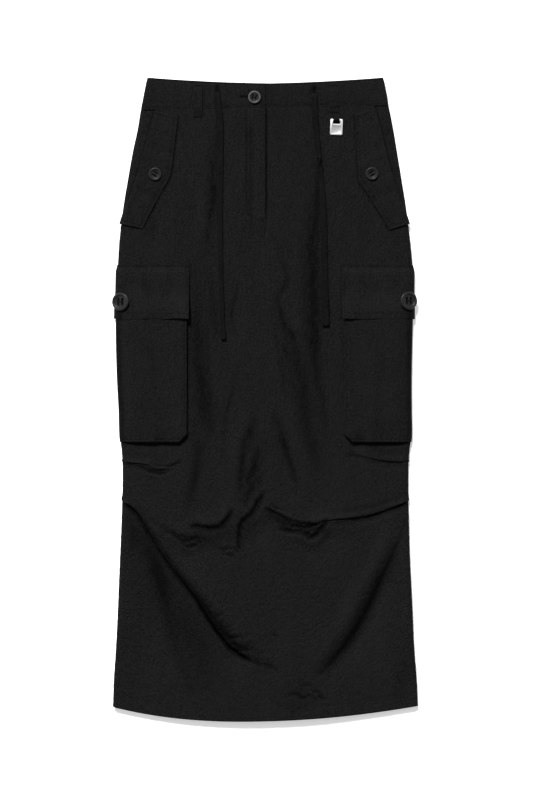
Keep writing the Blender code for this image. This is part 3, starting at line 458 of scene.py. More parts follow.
@dataclass(frozen=True)
class Crease:
    """A narrow trough placed along its path, or a narrow ridge where depth is negative.

    Each point of the path has its across, its down and the share of the depth there. A bank is the
    ridge of pushed-up cloth beside the trough, as a share of its depth, on the side of bank_side. The
    other side is flank times as wide. shade is how much painted shade the trough lays on the cloth.
    """

    depth: float
    width: float
    path: Rows
    bank: float = 0.0
    bank_side: int = 1
    wobble: float = 0.0005
    flank: float = 1.0
    shade: float = 0.0

    def line(self) -> Array:
        """The trough's slightly uneven line: across, down and strength."""
        dense = curve_through(np.array(self.path, float), 0.0022)
        run = np.gradient(dense[:, :2], axis=0)
        side = unit(np.stack([run[:, 1], -run[:, 0]], axis=-1))
        along = run_length(dense)
        phase = 97.0 * self.path[0][0] + 61.0 * self.path[0][1]
        dense[:, :2] += side * (self.wobble * ripple(along, 0.013, phase))[:, None]
        if self.width * self.flank < 0.006:
            dense[:, 2] *= 1.0 + 0.18 * ripple(along, 0.019, 1.7 * phase)
        return dense

    def effect(self, across: Array, down: Array) -> tuple[Array, Array]:
        """What the crease does to the cloth.

        Args:
            across: Signed distance from the centre line.
            down: Distance below the waist corners.

        Returns:
            The height and the painted shade that it adds at each place, in the same shape as across.
        """
        line = self.line()
        room = 4.0 * self.width * max(self.flank, 1.2)
        near = (
            (across > line[:, 0].min() - room) & (across < line[:, 0].max() + room)
            & (down > line[:, 1].min() - room) & (down < line[:, 1].max() + room)
        )
        lift, shade = np.zeros(np.shape(across)), np.zeros(np.shape(across))
        if not near.any():
            return lift, shade
        x, y = across[near], down[near]
        nearest, signed, strength = np.full(x.shape, np.inf), np.zeros(x.shape), np.zeros(x.shape)
        for (ax, ay, a_share), (bx, by, b_share) in zip(line[:-1], line[1:]):
            rx, ry = bx - ax, by - ay
            t = np.clip(((x - ax) * rx + (y - ay) * ry) / max(rx * rx + ry * ry, 1e-12), 0.0, 1.0)
            dx, dy = x - ax - t * rx, y - ay - t * ry
            off = np.hypot(dx, dy)
            closer = off < nearest
            nearest = np.where(closer, off, nearest)
            signed = np.where(closer, off * np.sign(rx * dy - ry * dx), signed)
            strength = np.where(closer, between(a_share, b_share, t), strength)
        side = self.bank_side * signed / self.width
        away = nearest / self.width / np.where(side < 0, self.flank, 1.0)
        groove = np.exp(-(away**2) / (1.0 + 0.5 * away))
        bank = self.bank * np.exp(-(((side - 2.1) / 1.25) ** 2))
        lift[near] = self.depth * strength * (bank - groove)
        shade[near] = self.shade * strength * np.exp(-((away / 1.15) ** 2))
        return lift, shade


@dataclass(frozen=True)
class Crumple:
    """A patch of cloth crushed into short sharp wrinkles along its turn, with painted shade between
    them.
    """

    across: float
    down: float
    wide: float
    high: float
    turn: float
    height: float = 0.0013
    wave: float = 0.0068
    shade: float = 0.5

    def effect(self, across: Array, down: Array) -> tuple[Array, Array]:
        """The height and the painted shade that the patch adds at each place."""
        x, y = across - self.across, down - self.down
        cos, sin = math.cos(self.turn), math.sin(self.turn)
        p, q = x * cos + y * sin, y * cos - x * sin
        share = np.exp(-(((p / self.wide) ** 2 + (q / self.high) ** 2) ** 1.5))
        bent = q + 0.45 * self.wave * ripple(p, 2.9 * self.wave, 90.0 * self.across)
        first = np.abs(ripple(bent, self.wave, 70.0 * self.down))
        second = np.abs(ripple(0.5 * p - 0.9 * bent, 1.6 * self.wave, 2.1))
        sharp = 1.0 - 1.5 * first - 0.7 * second
        # Painted shade, darkest between the wrinkles' ridges
        dark = np.clip(0.75 - 0.8 * sharp, 0.2, 1.0)
        return self.height * share * sharp, self.shade * share * dark


FRONT_CREASES = (
    # Soft hollows beside the ties and pockets, most with painted shade
    Crease(0.001, 0.005, course(-734, 608, 0, -763, 1176, 50, -748, 1701, 100, -805, 2099, 80,
        -862, 2738, 0), 0.3, shade=0.25),
    Crease(0.0013, 0.0065, course(757, 1034, 30, 771, 1389, 90, 714, 2170, 100, 700, 3022, 100,
        743, 3803, 70, 799, 4371, 0), 0.3, -1, shade=0.3),
    Crease(0.0006, 0.008, course(1012, 821, 0, 1041, 1602, 100, 984, 2312, 0)),
    Crease(0.001, 0.01, course(-1075, 3164, 0, -990, 3732, 100, -933, 4584, 100, -976, 5578, 50,
        -1217, 6430, 0), shade=0.3),
    Crease(0.001, 0.007, course(601, 1744, 0, 572, 2596, 80, 615, 3590, 100, 743, 4385, 60, 799,
        5152, 0), 0.4, shade=0.35),
    Crease(0.0008, 0.0044, course(84, 2212, 30, 302, 2866, 80, 175, 3150, 100, 274, 3519, 100, 430,
        3774, 100, 430, 4271, 30), 0.5, -1, shade=0.15),
    Crease(0.0009, 0.005, course(-24, 4541, 20, -223, 5010, 80, -308, 5223, 100, -337, 5521, 100,
        -365, 5848, 0), 0.3, shade=0.35),
    Crease(0.0009, 0.005, course(89, 4641, 20, 217, 5010, 80, 288, 5251, 100, 487, 5904,
        0), 0.3, -1, shade=0.35),
    Crease(0.0012, 0.008, course(-24, 5010, 0, -138, 5578, 100, -195, 5933, 80, -223, 6117,
        0), shade=0.3),
    Crease(0.0006, 0.006, course(-1600, 1829, 0, -1600, 2170, 100, -1572, 2553, 0)),
    # Crumples across the thighs, two with painted shade
    Crease(0.0012, 0.004, course(-1650, 6288, 30, -1416, 6430, 100, -1160, 6586, 40), 0.5),
    Crease(0.0036, 0.0028, course(-1075, 6387, 20, -990, 6373, 80, -862, 6401, 100, -677, 6396,
        100, -564, 6302, 100, -479, 6160, 30), 0.4, -1, shade=0.7),
    Crease(0.0014, 0.0018, course(-1018, 6316, 20, -848, 6345, 60, -649, 6330, 50, -592, 6274,
        0), 0.4),
    Crease(0.0014, 0.002, course(-1331, 6501, 20, -1132, 6600, 100, -990, 6543, 80, -862, 6558,
        30), 0.5),
    Crease(0.0014, 0.002, course(-1274, 6586, 30, -1075, 6671, 100, -933, 6600, 70, -805, 6586,
        20), 0.5),
    Crease(0.0034, 0.0027, course(-38, 5933, 40, -109, 6046, 100, -180, 6174, 100, -294, 6288, 100,
        -354, 6373, 100, -382, 6614, 50, -379, 6742, 0), 0.4, shade=0.6),
    Crease(0.0016, 0.0022, course(-24, 6004, 20, -124, 6174, 70, -237, 6259, 30), 0.4),
    Crease(0.001, 0.0018, course(-763, 6711, 30, -592, 6700, 80, -365, 6685, 40), 0.4),
    Crease(0.001, 0.0018, course(-677, 6742, 30, -464, 6799, 100, -393, 6756, 30), 0.4),
    # Fine wrinkles that run into the right diagonal
    Crease(0.0012, 0.0018, course(-464, 7963, 40, -365, 7921, 90, -237, 7907, 30), 0.4),
    Crease(0.0016, 0.0022, course(-464, 8148, 60, -322, 8134, 100, -138, 8114, 40), 0.4),
    Crease(0.0012, 0.0016, course(75, 7907, 40, 146, 7935, 100, 203, 7949, 30), 0.4),
    Crease(0.001, 0.0018, course(459, 8659, 40, 544, 8631, 100, 643, 8645, 30), 0.4),
    Crease(0.001, 0.0018, course(629, 8702, 30, 743, 8744, 100, 799, 8815, 80, 913, 8844,
        20), 0.4),
    Crease(0.0008, 0.0018, course(714, 8872, 20, 771, 8801, 80, 814, 8915, 40), 0.4),
    Crease(0.0009, 0.002, course(1879, 8702, 30, 2006, 8617, 100, 2120, 8560, 40), 0.4),
    Crease(0.0006, 0.0025, course(1538, 8205, 20, 1651, 7992, 50, 1680, 7821, 20), 0.4),
    # The crumpled end of the left tuck, with painted shade in two creases
    Crease(0.003, 0.0034, course(856, 6330, 60, 771, 6444, 100, 643, 6543, 100, 530, 6458, 80, 345,
        6444, 80, 189, 6416, 30), 0.4, -1, shade=0.6),
    Crease(0.0018, 0.002, course(743, 6359, 50, 558, 6345, 100, 345, 6288, 80, 203, 6245,
        40), 0.4),
    Crease(0.0016, 0.0018, course(487, 6515, 30, 615, 6472, 80, 714, 6387, 30), 0.4),
    Crease(0.0024, 0.0024, course(4, 6132, 30, 89, 6174, 100, 240, 6245, 80, 317, 6302,
        30), 0.5, shade=0.6),
    Crease(0.0016, 0.0018, course(61, 6075, 30, 146, 6117, 90, 246, 6160, 30), 0.4),
    # The left diagonal: a trough and two lines of painted shade along it
    Crease(0.0024, 0.0046, course(2020, 6190, 30, 1915, 6520, 40, 1822, 6749, 55, 1640, 7155, 85,
        1468, 7540, 100, 1230, 7965, 100, 1000, 8240, 60, 740, 8489,
        20), 0.0, 1, 0.0002, 3.6, 0.0),
    Crease(0.0, 0.002, course(2030, 6190, 90, 1900, 6540, 100, 1762, 6850, 100, 1592, 7200, 90,
        1443, 7530, 70, 960, 8270, 90, 700, 8510, 100), 0.0, 1, 0.0003, shade=0.4),
    Crease(0.0, 0.0058, course(1800, 6760, 20, 1592, 7190, 70, 1430, 7540, 100, 1187, 7960, 100,
        960, 8245, 70, 800, 8430, 20), 0.0, 1, 0.0006, shade=0.42),
    # The right diagonal and its flank, darkened with painted shade
    Crease(0.0004, 0.0105, course(-1896, 6260, 20, -1806, 6529, 100, -1626, 6890, 100, -1446, 7205,
        60, -1311, 7520, 0), shade=0.5),
    Crease(0.0006, 0.022, course(-1671, 6755, 0, -1446, 7295, 80, -1198, 7745, 100, -951, 8150,
        100, -861, 8510, 70, -817, 8870, 20), shade=0.46),
    Crease(0.0042, 0.0036, course(-2010, 6080, 10, -1838, 6190, 50, -1572, 6610, 80, -1260, 7080,
        100, -978, 7480, 100, -728, 7860, 100, -479, 8165, 70, -200, 8310,
        0), 0.0, -1, 0.0002, 11.0, 0.15),
    Crease(0.0008, 0.0032, course(-2020, 6060, 90, -1838, 6165, 90, -1572, 6585, 80, -1260, 7052,
        100, -978, 7458, 100, -728, 7833, 100, -479, 8145, 80, -300, 8250,
        20), 0.0, -1, 0.0003, shade=0.8),
    Crease(0.0004, 0.0052, course(-1153, 7137, 20, -974, 7385, 70, -780, 7655, 90, -591, 7890, 100,
        -430, 8090, 90, -275, 8215, 20), 0.0, -1, 0.0014, shade=1.15),
    # The last squiggles of the right diagonal, the first with painted shade
    Crease(0.0018, 0.0024, course(-479, 8145, 50, -322, 8247, 100, -223, 8297, 70, -95, 8341, 50,
        33, 8343, 50, 132, 8399, 30, 203, 8446, 0), 0.5, -1, 0.0012, shade=0.5),
    Crease(0.0011, 0.0018, course(-251, 8233, 20, -138, 8290, 70, 4, 8276, 30), 0.4),
    Crease(0.0006, 0.0022, course(61, 8901, 20, 231, 8929, 80, 416, 8872, 20)),
    Crease(0.0006, 0.0022, course(260, 8986, 20, 430, 9014, 70, 572, 8972, 20)),
    # Small folds at the upper right tuck
    Crease(0.0012, 0.0018, course(-1671, 5514, 30, -1529, 5521, 100, -1359, 5521, 80, -1231, 5464,
        20), 0.5),
    Crease(0.0014, 0.002, course(-1785, 5549, 20, -1615, 5613, 90, -1458, 5635, 60, -1359, 5592,
        20), 0.5),
    # Soft bands of painted shade down the middle of the front, over very shallow troughs
    Crease(0.0003, 0.0085, course(454, 3894, 30, 545, 4254, 90, 544, 4672, 100, 583, 5007, 90, 673,
        5315, 90, 711, 5547, 30), shade=0.62),
    Crease(0.0003, 0.003, course(790, 4340, 10, 802, 4460, 80, 841, 4801, 100, 841, 5186,
        40), shade=0.4),
    Crease(0.0003, 0.006, course(-792, 2709, 20, -754, 3097, 90, -716, 3482, 100, -690, 3739,
        20), shade=0.42),
    Crease(0.0003, 0.0075, course(-896, 4203, 30, -805, 4639, 100, -780, 4929, 90, -741, 5084,
        30), shade=0.42),
    Crease(0.0004, 0.0034, course(-381, 3997, 30, -459, 4408, 80, -544, 4723, 100, -579, 5007, 80,
        -599, 5392, 20), shade=0.45),
    Crease(0.0005, 0.0026, course(-381, 2891, 40, -450, 3174, 90, -484, 3405, 100, -433, 3611,
        30), shade=0.45),
    Crease(0.0003, 0.005, course(82, 4775, 40, 185, 5135, 100, 327, 5444, 90, 454, 5804,
        80), shade=0.24),
    Crease(0.0003, 0.0052, course(-85, 4852, 50, -227, 5186, 100, -329, 5495, 80, -368, 5804, 90,
        -329, 6009, 70), shade=0.26),
    Crease(0.0003, 0.0062, course(-947, 5237, 40, -985, 5598, 100, -1024, 5829, 100, -1102, 6061,
        50), shade=0.48),
    # Lines of painted shadow under the upper tucks and the left tuck
    Crease(0.0, 0.0013, course(-2021, 5470, 70, -1751, 5529, 80, -1541, 5572, 120, -1349, 5559, 90,
        -1181, 5475, 20), 0.0, 1, 0.0003, shade=0.8),
    Crease(0.0, 0.0012, course(1218, 5368, 20, 1519, 5386, 80, 1728, 5434, 100, 2029, 5457,
        80), 0.0, 1, 0.0003, shade=0.7),
    Crease(0.0, 0.0014, course(919, 6292, 60, 1279, 6238, 100, 1639, 6136, 100, 2029, 6039,
        100), 0.0, 1, 0.0003, shade=0.8),
    # The outer edge of the flank, a band of painted shade
    Crease(0.0003, 0.0065, course(-1721, 6400, 40, -1541, 6999, 100, -1409, 7540, 100, -1314, 8020,
        80, -1061, 8709, 50), shade=0.4),
    # A line of painted shade along the fly's stitches
    Crease(0.0, 0.001, course(-275, 475, 80, -275, 1000, 100, -275, 1805, 100, -230, 1945, 100,
        -165, 2000, 100, -12, 2030, 100), 0.0, 1, 0.0, shade=0.45),
    # Patches crushed into short wrinkles, with painted shade between them
    Crumple(0.054, 0.639, 0.032, 0.01, 0.16, 0.0012, 0.0052, 1.9),
    Crumple(0.018, 0.624, 0.019, 0.006, 0.5, 0.0012, 0.006, 1.3),
    Crumple(-0.078, 0.6395, 0.023, 0.0055, -0.05, 0.001, 0.006, 1.2),
    Crumple(-0.115, 0.654, 0.036, 0.0085, 0.24, 0.0012, 0.0066, 1.1),
    Crumple(-0.029, 0.629, 0.012, 0.02, 0.55, 0.001, 0.0062, 0.6),
    Crumple(-0.05, 0.673, 0.022, 0.006, 0.05, 0.001, 0.007, 0.5),
    Crumple(-0.038, 0.805, 0.024, 0.016, -0.2, 0.0012, 0.0072, 0.7),
    Crumple(0.052, 0.876, 0.026, 0.016, 0.1, 0.0008, 0.008, 0.5),
    Crumple(-0.02, 0.57, 0.042, 0.016, 1.75, 0.0008, 0.0095, 0.5),
    Crumple(0.033, 0.405, 0.07, 0.014, 1.4, 0.0007, 0.0085, 0.5),
    Crumple(-0.09, 0.39, 0.15, 0.012, 1.52, 0.0006, 0.0095, 0.4),
    Crumple(0.07, 0.3, 0.14, 0.013, 1.52, 0.0006, 0.0095, 0.45),
    Crumple(-0.076, 0.19, 0.1, 0.008, 1.6, 0.0005, 0.009, 0.45),
    # Painted shadow along the edge of the fly lap
    Crease(0.0, 0.0013, course(6, 450, 100, 6, 1200, 100, 6, 1980, 80), 0.0, 1, 0.0, shade=1.1),
    Crumple(0.196, 0.85, 0.012, 0.034, 0.3, 0.0007, 0.008, 0.4),
)


def combed_creases() -> tuple[Crease, ...]:
    """Short wrinkles with painted shade, combed up and inwards from the right diagonal's lower half.
    """
    starts = course(
        -905, 7420, 120, 50, -850, 7530, 160, 80, -795, 7610, 130, 70, -740, 7680, 200, 100,
        -695, 7760, 150, 80, -640, 7830, 210, 100, -590, 7910, 140, 90, -545, 7990, 190, 100,
        -500, 8060, 120, 70, width=4)
    found = []
    for number, (across, down, length, strength) in enumerate(starts):
        angle = math.radians(24 + 9 * math.sin(2.4 * number))
        far = (across + length * math.cos(angle), down - length * math.sin(angle))
        middle = (between(across, far[0], 0.5), between(down, far[1], 0.5) + 0.0012)
        path = ((across, down, 0.7), (*middle, 1.0), (*far, 0.1))
        found.append(Crease(0.0014 * strength, 0.0019, path, 0.4, shade=0.5))
    return tuple(found)


def crease_effect(
    creases: Sequence[Crease | Crumple], across: Array, down: Array
) -> tuple[Array, Array]:
    """The height and the painted shade that several creases add together."""
    lift, shade = np.zeros(np.shape(across)), np.zeros(np.shape(across))
    for crease in creases:
        more_lift, more_shade = crease.effect(across, down)
        lift += more_lift
        shade += more_shade
    return lift, shade


# --- Meshes ---


def link(name: str, data: ID) -> Object:
    """A new object of some data, in the scene."""
    made = bpy.data.objects.new(name, data)
    bpy.context.scene.collection.objects.link(made)
    return made


def add_mesh(
    name: str, points: Array, faces: Sequence[Array], materials: Sequence[Material],
    part: Array | None = None, sharp: float = 62.0,
) -> Object:
    """An object from points and faces, shaded smooth except at sharp edges.

    Args:
        name: The object's name.
        points: One row of x, y and z a vertex.
        faces: Arrays of faces, each with its own number of corners.
        materials: The object's materials in slot order.
        part: Which material each face has, or None for the first.
        sharp: Edges that bend by more degrees than this stay sharp.

    Returns:
        The new object, linked to the scene.
    """
    mesh = bpy.data.meshes.new(name)
    mesh.vertices.add(len(points))
    mesh.vertices.foreach_set("co", np.ascontiguousarray(points, np.float32).ravel())
    corners = np.concatenate([np.asarray(f, np.int32).ravel() for f in faces])
    sizes = np.concatenate([np.full(len(f), np.shape(f)[1], np.int32) for f in faces])
    mesh.loops.add(len(corners))
    mesh.loops.foreach_set("vertex_index", corners)
    mesh.polygons.add(len(sizes))
    starts = np.cumsum(sizes) - sizes
    mesh.polygons.foreach_set("loop_start", starts.astype(np.int32))
    if part is not None:
        mesh.polygons.foreach_set("material_index", np.asarray(part, np.int32))
    for material in materials:
        mesh.materials.append(material)
    mesh.update(calc_edges=True)
    mesh.shade_smooth()
    mesh.set_sharp_from_angle(angle=math.radians(sharp))
    return link(name, mesh)


def write_attribute(target: Object, name: str, values: Array) -> None:
    """Stores one number or one vector a vertex, for the object's materials to read."""
    values = np.asarray(values, np.float32)
    kind, key = ("FLOAT_VECTOR", "vector") if values.ndim == 2 else ("FLOAT", "value")
    made = target.data.attributes.new(name, kind, "POINT")
    made.data.foreach_set(key, values.ravel())


def edge_distance(points: Array) -> Array:
    """Distance of each point of a grid from its nearest border, along its rows and columns."""
    steps_down = np.linalg.norm(np.diff(points, axis=0), axis=-1)
    steps_across = np.linalg.norm(np.diff(points, axis=1), axis=-1)
    down = np.zeros(points.shape[:2])
    down[1:] = np.cumsum(steps_down, axis=0)
    across = np.zeros(points.shape[:2])
    across[:, 1:] = np.cumsum(steps_across, axis=1)
    return np.minimum.reduce([down, down[-1:] - down, across, across[:, -1:] - across])


def grid_faces(index: Array) -> Array:
    """The four corners of every face of a grid of vertex numbers."""
    corners = (index[:-1, :-1], index[1:, :-1], index[1:, 1:], index[:-1, 1:])
    return np.stack(corners, axis=-1).reshape(-1, 4)


def ring_faces(index: Array) -> Array:
    """The faces between closed rings of vertex numbers, one ring a row."""
    after = np.roll(index, -1, axis=1)
    return np.stack([index[:-1], after[:-1], after[1:], index[1:]], axis=-1).reshape(-1, 4)


def prism(
    name: str, outline: Array, low: float, high: float, materials: Sequence[Material] = ()
) -> Object:
    """An upright prism of an outline between two heights."""
    count = len(outline)
    points = np.concatenate([np.column_stack([outline, np.full(count, z)]) for z in (low, high)])
    ring = np.arange(count)
    faces = [ring_faces(np.stack([ring, ring + count])), np.array([ring[::-1], ring + count])]
    return add_mesh(name, points, faces, materials)


def apply_modifiers(piece: Object) -> None:
    """Makes the result of a piece's modifiers its own mesh."""
    depsgraph = bpy.context.evaluated_depsgraph_get()
    done = bpy.data.meshes.new_from_object(piece.evaluated_get(depsgraph))
    piece.modifiers.clear()
    piece.data = done


def cut(target: Object, cutter: Object, operation: str = "DIFFERENCE") -> None:
    """Cuts with one solid, or joins it on, and removes it."""
    modifier = target.modifiers.new("cut", "BOOLEAN")
    modifier.operation, modifier.solver, modifier.object = operation, "EXACT", cutter
    apply_modifiers(target)
    bpy.data.objects.remove(cutter)


def soften(piece: Object, width: float, angle: float, sharp: float) -> Array:
    """Rounds a hard piece's edges.

    Args:
        piece: The piece.
        width: The width of the rounding.
        angle: Edges that bend by more degrees than this are rounded.
        sharp: Edges that bend by more degrees than this stay sharp afterwards.

    Returns:
        The piece's vertices as rows of x, y and z, which are also its own places.
    """
    bevel = piece.modifiers.new("soft_edges", "BEVEL")
    bevel.width, bevel.segments, bevel.limit_method = width, 2, "ANGLE"
    bevel.angle_limit = math.radians(angle)
    apply_modifiers(piece)
    piece.data.shade_smooth()
    piece.data.set_sharp_from_angle(angle=math.radians(sharp))
    found = np.zeros(len(piece.data.vertices) * 3, np.float32)
    piece.data.vertices.foreach_get("co", found)
    found = found.reshape(-1, 3)
    write_attribute(piece, "own", found)
    return found


class Laid(NamedTuple):
    """A laid grid of cloth: its outer face, its normals, and its places round and down the tube."""

    outer: Array
    normal: Array
    u: Array
    down: Array
    # How much painted shade darkens the cloth at each point
    hollow: Value = 0.0
    tucked: bool = False

    @property
    def area(self) -> float:
        """The grid's area."""
        first, low, last, beside = (
            self.outer[:-1, :-1], self.outer[1:, :-1], self.outer[1:, 1:], self.outer[:-1, 1:])
        sides = np.cross(low - first, beside - first)
        others = np.cross(low - last, beside - last)
        return float((np.linalg.norm(sides, axis=-1) + np.linalg.norm(others, axis=-1)).sum() / 2)

    @property
    def span(self) -> tuple[float, float]:
        """The length of its longest row, or end row where tucks bend the rows, and column."""
        rows = self.outer[[0, -1]] if self.tucked else self.outer
        across = np.linalg.norm(np.diff(rows, axis=1), axis=-1).sum(axis=1)
        down = np.linalg.norm(np.diff(self.outer, axis=0), axis=-1).sum(axis=0)
        return float(across.max()), float(down.max())


def shell(name: str, laid: Laid, thickness: float, material: Material) -> Object:
    """A closed thin shell of cloth, its outer face on a laid grid.

    Args:
        name: The piece's name.
        laid: The outer face.
        thickness: The cloth's thickness.
        material: The cloth's material.

    Returns:
        The new piece.
    """
    count = laid.u.size
    index = np.arange(count).reshape(laid.u.shape)
    face = grid_faces(index)
    rim = np.concatenate([index[0, :-1], index[:-1, -1], index[-1, :0:-1], index[:0:-1, 0]])
    after = np.roll(rim, -1)
    walls = np.stack([rim, after, after + count, rim + count], axis=-1)
    faces = np.concatenate([face, face[:, ::-1] + count, walls])
    if np.sum(grid_normals(laid.outer) * laid.normal) < 0:
        faces = faces[:, ::-1]
    inner = laid.outer - laid.normal * thickness
    points = np.concatenate([laid.outer.reshape(-1, 3), inner.reshape(-1, 3)])
    made = add_mesh(name, points, [faces], [material])
    cloth = np.stack([laid.u, laid.down, np.zeros(laid.u.shape)], axis=-1).reshape(-1, 3)
    write_attribute(made, "cloth", np.concatenate([cloth, cloth + (0.0, 0.0, thickness)]))
    edge = np.exp(-edge_distance(laid.outer) / 0.0012).ravel()
    write_attribute(made, "edge", np.concatenate([edge, edge]))
    # The painted shade, which the cloth's material uses to darken its colour
    hollow = np.broadcast_to(laid.hollow, laid.u.shape).ravel()
    write_attribute(made, "hollow", np.concatenate([hollow, hollow]))
    return made


def hollows(lift: Array) -> Array:
    """How deep each point of a grid lies below the cloth round it, from 0 to 1, used as painted
    shade.
    """
    mean, near = np.asarray(lift, float), None
    for step in range(48):
        padded = np.pad(mean, 1, mode="edge")
        mean = (padded[:-2, 1:-1] + padded[2:, 1:-1] + padded[1:-1, :-2] + padded[1:-1, 2:]) / 4
        near = mean if step == 6 else near
    sharp = np.clip((near - lift - 0.00005) / 0.0008, 0.0, 1.0)
    broad = np.clip((mean - near - 0.00005) / 0.0010, 0.0, 1.0)
    return np.clip(sharp + 0.7 * broad, 0.0, 1.0)


def lay(
    form: SkirtForm, u: Array, down: Array, lift: Array, roll: Value = 0.0004,
    shade: Value = 0.0,
) -> Laid:
    """A grid of cloth laid on the form.

    Args:
        form: The form beneath it.
        u: Signed distance round the tube of each point.
        down: Distance below the waist corners of each point.
        lift: Height of the outer face above the form.
        roll: How much the border ring turns down, which rounds the edge.
        shade: How much painted shade darkens the cloth at each point, beside that of its hollows.

    Returns:
        The laid grid.
    """
    base = form.frame(u, down)
    border = np.zeros(u.shape)
    border[[0, -1], :] = 1.0
    border[:, [0, -1]] = 1.0
    outer = base.point + base.normal * (lift - roll * border)[..., None]
    normal = grid_normals(outer)
    normal *= np.sign(np.sum(normal * base.normal))
    # Painted shade: the cloth is darkened in its hollows and wherever shade is given
    hollow = np.clip(hollows(lift) + shade, 0.0, 1.0)
    return Laid(outer, normal, np.asarray(u, float), np.asarray(down, float), hollow)


# --- Stitches ---


@dataclass
class StitchBook:
    """Collects rows of stitches for one sub-assembly and makes them one joined mesh."""

    pitch: float = 0.0027
    length: float = 0.0020
    width: float = 0.00052
    height: float = 0.00042
    centres: list[Array] = field(default_factory=list)

    def row(self, surface: Surface, path: Sequence) -> None:
        """A row of stitches along a path on a surface.

        Args:
            surface: Gives the points and normals at places u and down.
            path: The row's corners, each u and down.
        """
        dense = np.array(path, float)
        if len(dense) > 2:
            dense = curve_through(dense, 0.001)
        along = run_length(dense)
        number = max(1, int(along[-1] / self.pitch))
        middle = (np.arange(number) + 0.5) * along[-1] / number
        ends = []
        for shift in (-self.length / 2, self.length / 2):
            u = np.interp(middle + shift, along, dense[:, 0])
            down = np.interp(middle + shift, along, dense[:, 1])
            point, normal = surface(u, down)
            ends.append(point)
        self.centres.append(np.stack([ends[0], ends[1], normal], axis=1))

    def bar(self, surface: Surface, u: float, down: float,
            width: float, height: float, threads: int = 9) -> None:
        """A bar tack: short stitches packed side by side in a small rectangle."""
        spots = u + width * (np.arange(threads) / (threads - 1) - 0.5)
        top, normal = surface(spots, np.full(threads, down - height / 2))
        low, _ = surface(spots, np.full(threads, down + height / 2))
        self.centres.append(np.stack([top, low, normal], axis=1))

    def build(self, name: str, material: Material) -> Object:
        """One joined mesh of every stitch: each a small pointed grain that lies on the cloth."""
        data = np.concatenate(self.centres)
        start, end, normal = data[:, 0], data[:, 1], data[:, 2]
        run = end - start
        side = unit(np.cross(normal, run)) * self.width / 2
        out = normal * self.height / 2
        rings = []
        for share in (0.22, 0.78):
            centre = start + run * share + out * 0.45
            rings += [centre + side, centre + out, centre - side, centre - out]
        points = np.stack([start - out * 0.4, *rings, end - out * 0.4], axis=1)
        grain = [(0, 1, 2), (0, 2, 3), (0, 3, 4), (0, 4, 1),
                 (9, 6, 5), (9, 7, 6), (9, 8, 7), (9, 5, 8)]
        belt = [(1, 5, 6, 2), (2, 6, 7, 3), (3, 7, 8, 4), (4, 8, 5, 1)]
        first = (np.arange(len(data)) * 10)[:, None, None]
        ends = (np.array(grain)[None] + first).reshape(-1, 3)
        sides = (np.array(belt)[None] + first).reshape(-1, 4)
        return add_mesh(name, points.reshape(-1, 3), [ends, sides], [material], sharp=179.0)


# --- Shader groups ---


class Graph:
    """A node tree with short ways to add nodes to it."""

    def __init__(self, tree: NodeTree) -> None:
        """Takes the tree."""
        self.tree = tree

    def put(self, kind: str, settings: dict | None = None, **inputs: object) -> Node:
        """Adds a node.

        Args:
            kind: The node's type, without ShaderNode.
            settings: Properties of the node.
            **inputs: Values or sockets of its inputs, named as for fill.

        Returns:
            The node.
        """
        node = self.tree.nodes.new(f"ShaderNode{kind}")
        for name, value in (settings or {}).items():
            setattr(node, name, value)
        self.fill(node, **inputs)
        return node

    def fill(self, node: Node, **inputs: object) -> None:
        """Fills or links a node's inputs.

        Args:
            node: The node.
            **inputs: Values or sockets, by the input's name with _ for a space, or i0, i1, i2.
        """
        for name, value in inputs.items():
            socket = node.inputs[int(name[1:]) if name[1:].isdigit() else name.replace("_", " ")]
            if isinstance(value, NodeSocket):
                self.tree.links.new(value, socket)
            else:
                socket.default_value = value

    def math(self, operation: str, *values: object) -> NodeSocket:
        """The result of a Math node with these values or sockets."""
        inputs = {f"i{number}": value for number, value in enumerate(values)}
        return self.put("Math", {"operation": operation}, **inputs).outputs[0]

    def noise(
        self, place: NodeSocket, scale: object, detail: float, rough: float, output: int = 0
    ) -> NodeSocket:
        """A noise texture's value, or its colour where output is 1."""
        node = self.put("TexNoise", Vector=place, Scale=scale, Detail=detail, Roughness=rough)
        return node.outputs[output]

    def stretched(self, place: NodeSocket, scale: tuple, kind: str = "POINT",
                  turn: float = 0.0) -> NodeSocket:
        """A place scaled by a Mapping node of a kind, and turned by some degrees."""
        node = self.put("Mapping", {"vector_type": kind}, Vector=place, Scale=scale,
                        Rotation=(0.0, 0.0, math.radians(turn)))
        return node.outputs[0]

    def mixed(self, share: NodeSocket, first: object, second: object) -> NodeSocket:
        """A colour between two colours."""
        return self.put("Mix", {"data_type": "RGBA"}, i0=share, i6=first, i7=second).outputs[2]


class Group(Graph):
    """A shader node group with named sockets."""

    def __init__(self, name: str, **inputs: object) -> None:
        """Starts a group with its inputs, each with its usual value, or None for a place."""
        super().__init__(bpy.data.node_groups.new(name, "ShaderNodeTree"))
        self.source = self.tree.nodes.new("NodeGroupInput")
        self.result = self.tree.nodes.new("NodeGroupOutput")
        for label, value in inputs.items():
            kind = "Vector" if value is None else "Color" if isinstance(value, tuple) else "Float"
            socket = self.tree.interface.new_socket(
                label, in_out="INPUT", socket_type=f"NodeSocket{kind}")
            if value is not None:
                socket.default_value = value

    def give(self, name: str, source: NodeSocket, kind: str = "Float") -> None:
        """Adds an output socket that a node feeds."""
        self.tree.interface.new_socket(name, in_out="OUTPUT", socket_type=f"NodeSocket{kind}")
        self.tree.links.new(source, self.result.inputs[name])

    def of(self, name: str) -> NodeSocket:
        """The inner socket of one of the group's inputs."""
        return self.source.outputs[name]


def gray(value: float, blue: float = 1.0) -> Rgba:
    """A near-neutral colour, a little bluer where blue is over 1."""
    return (value, value, value * blue, 1.0)


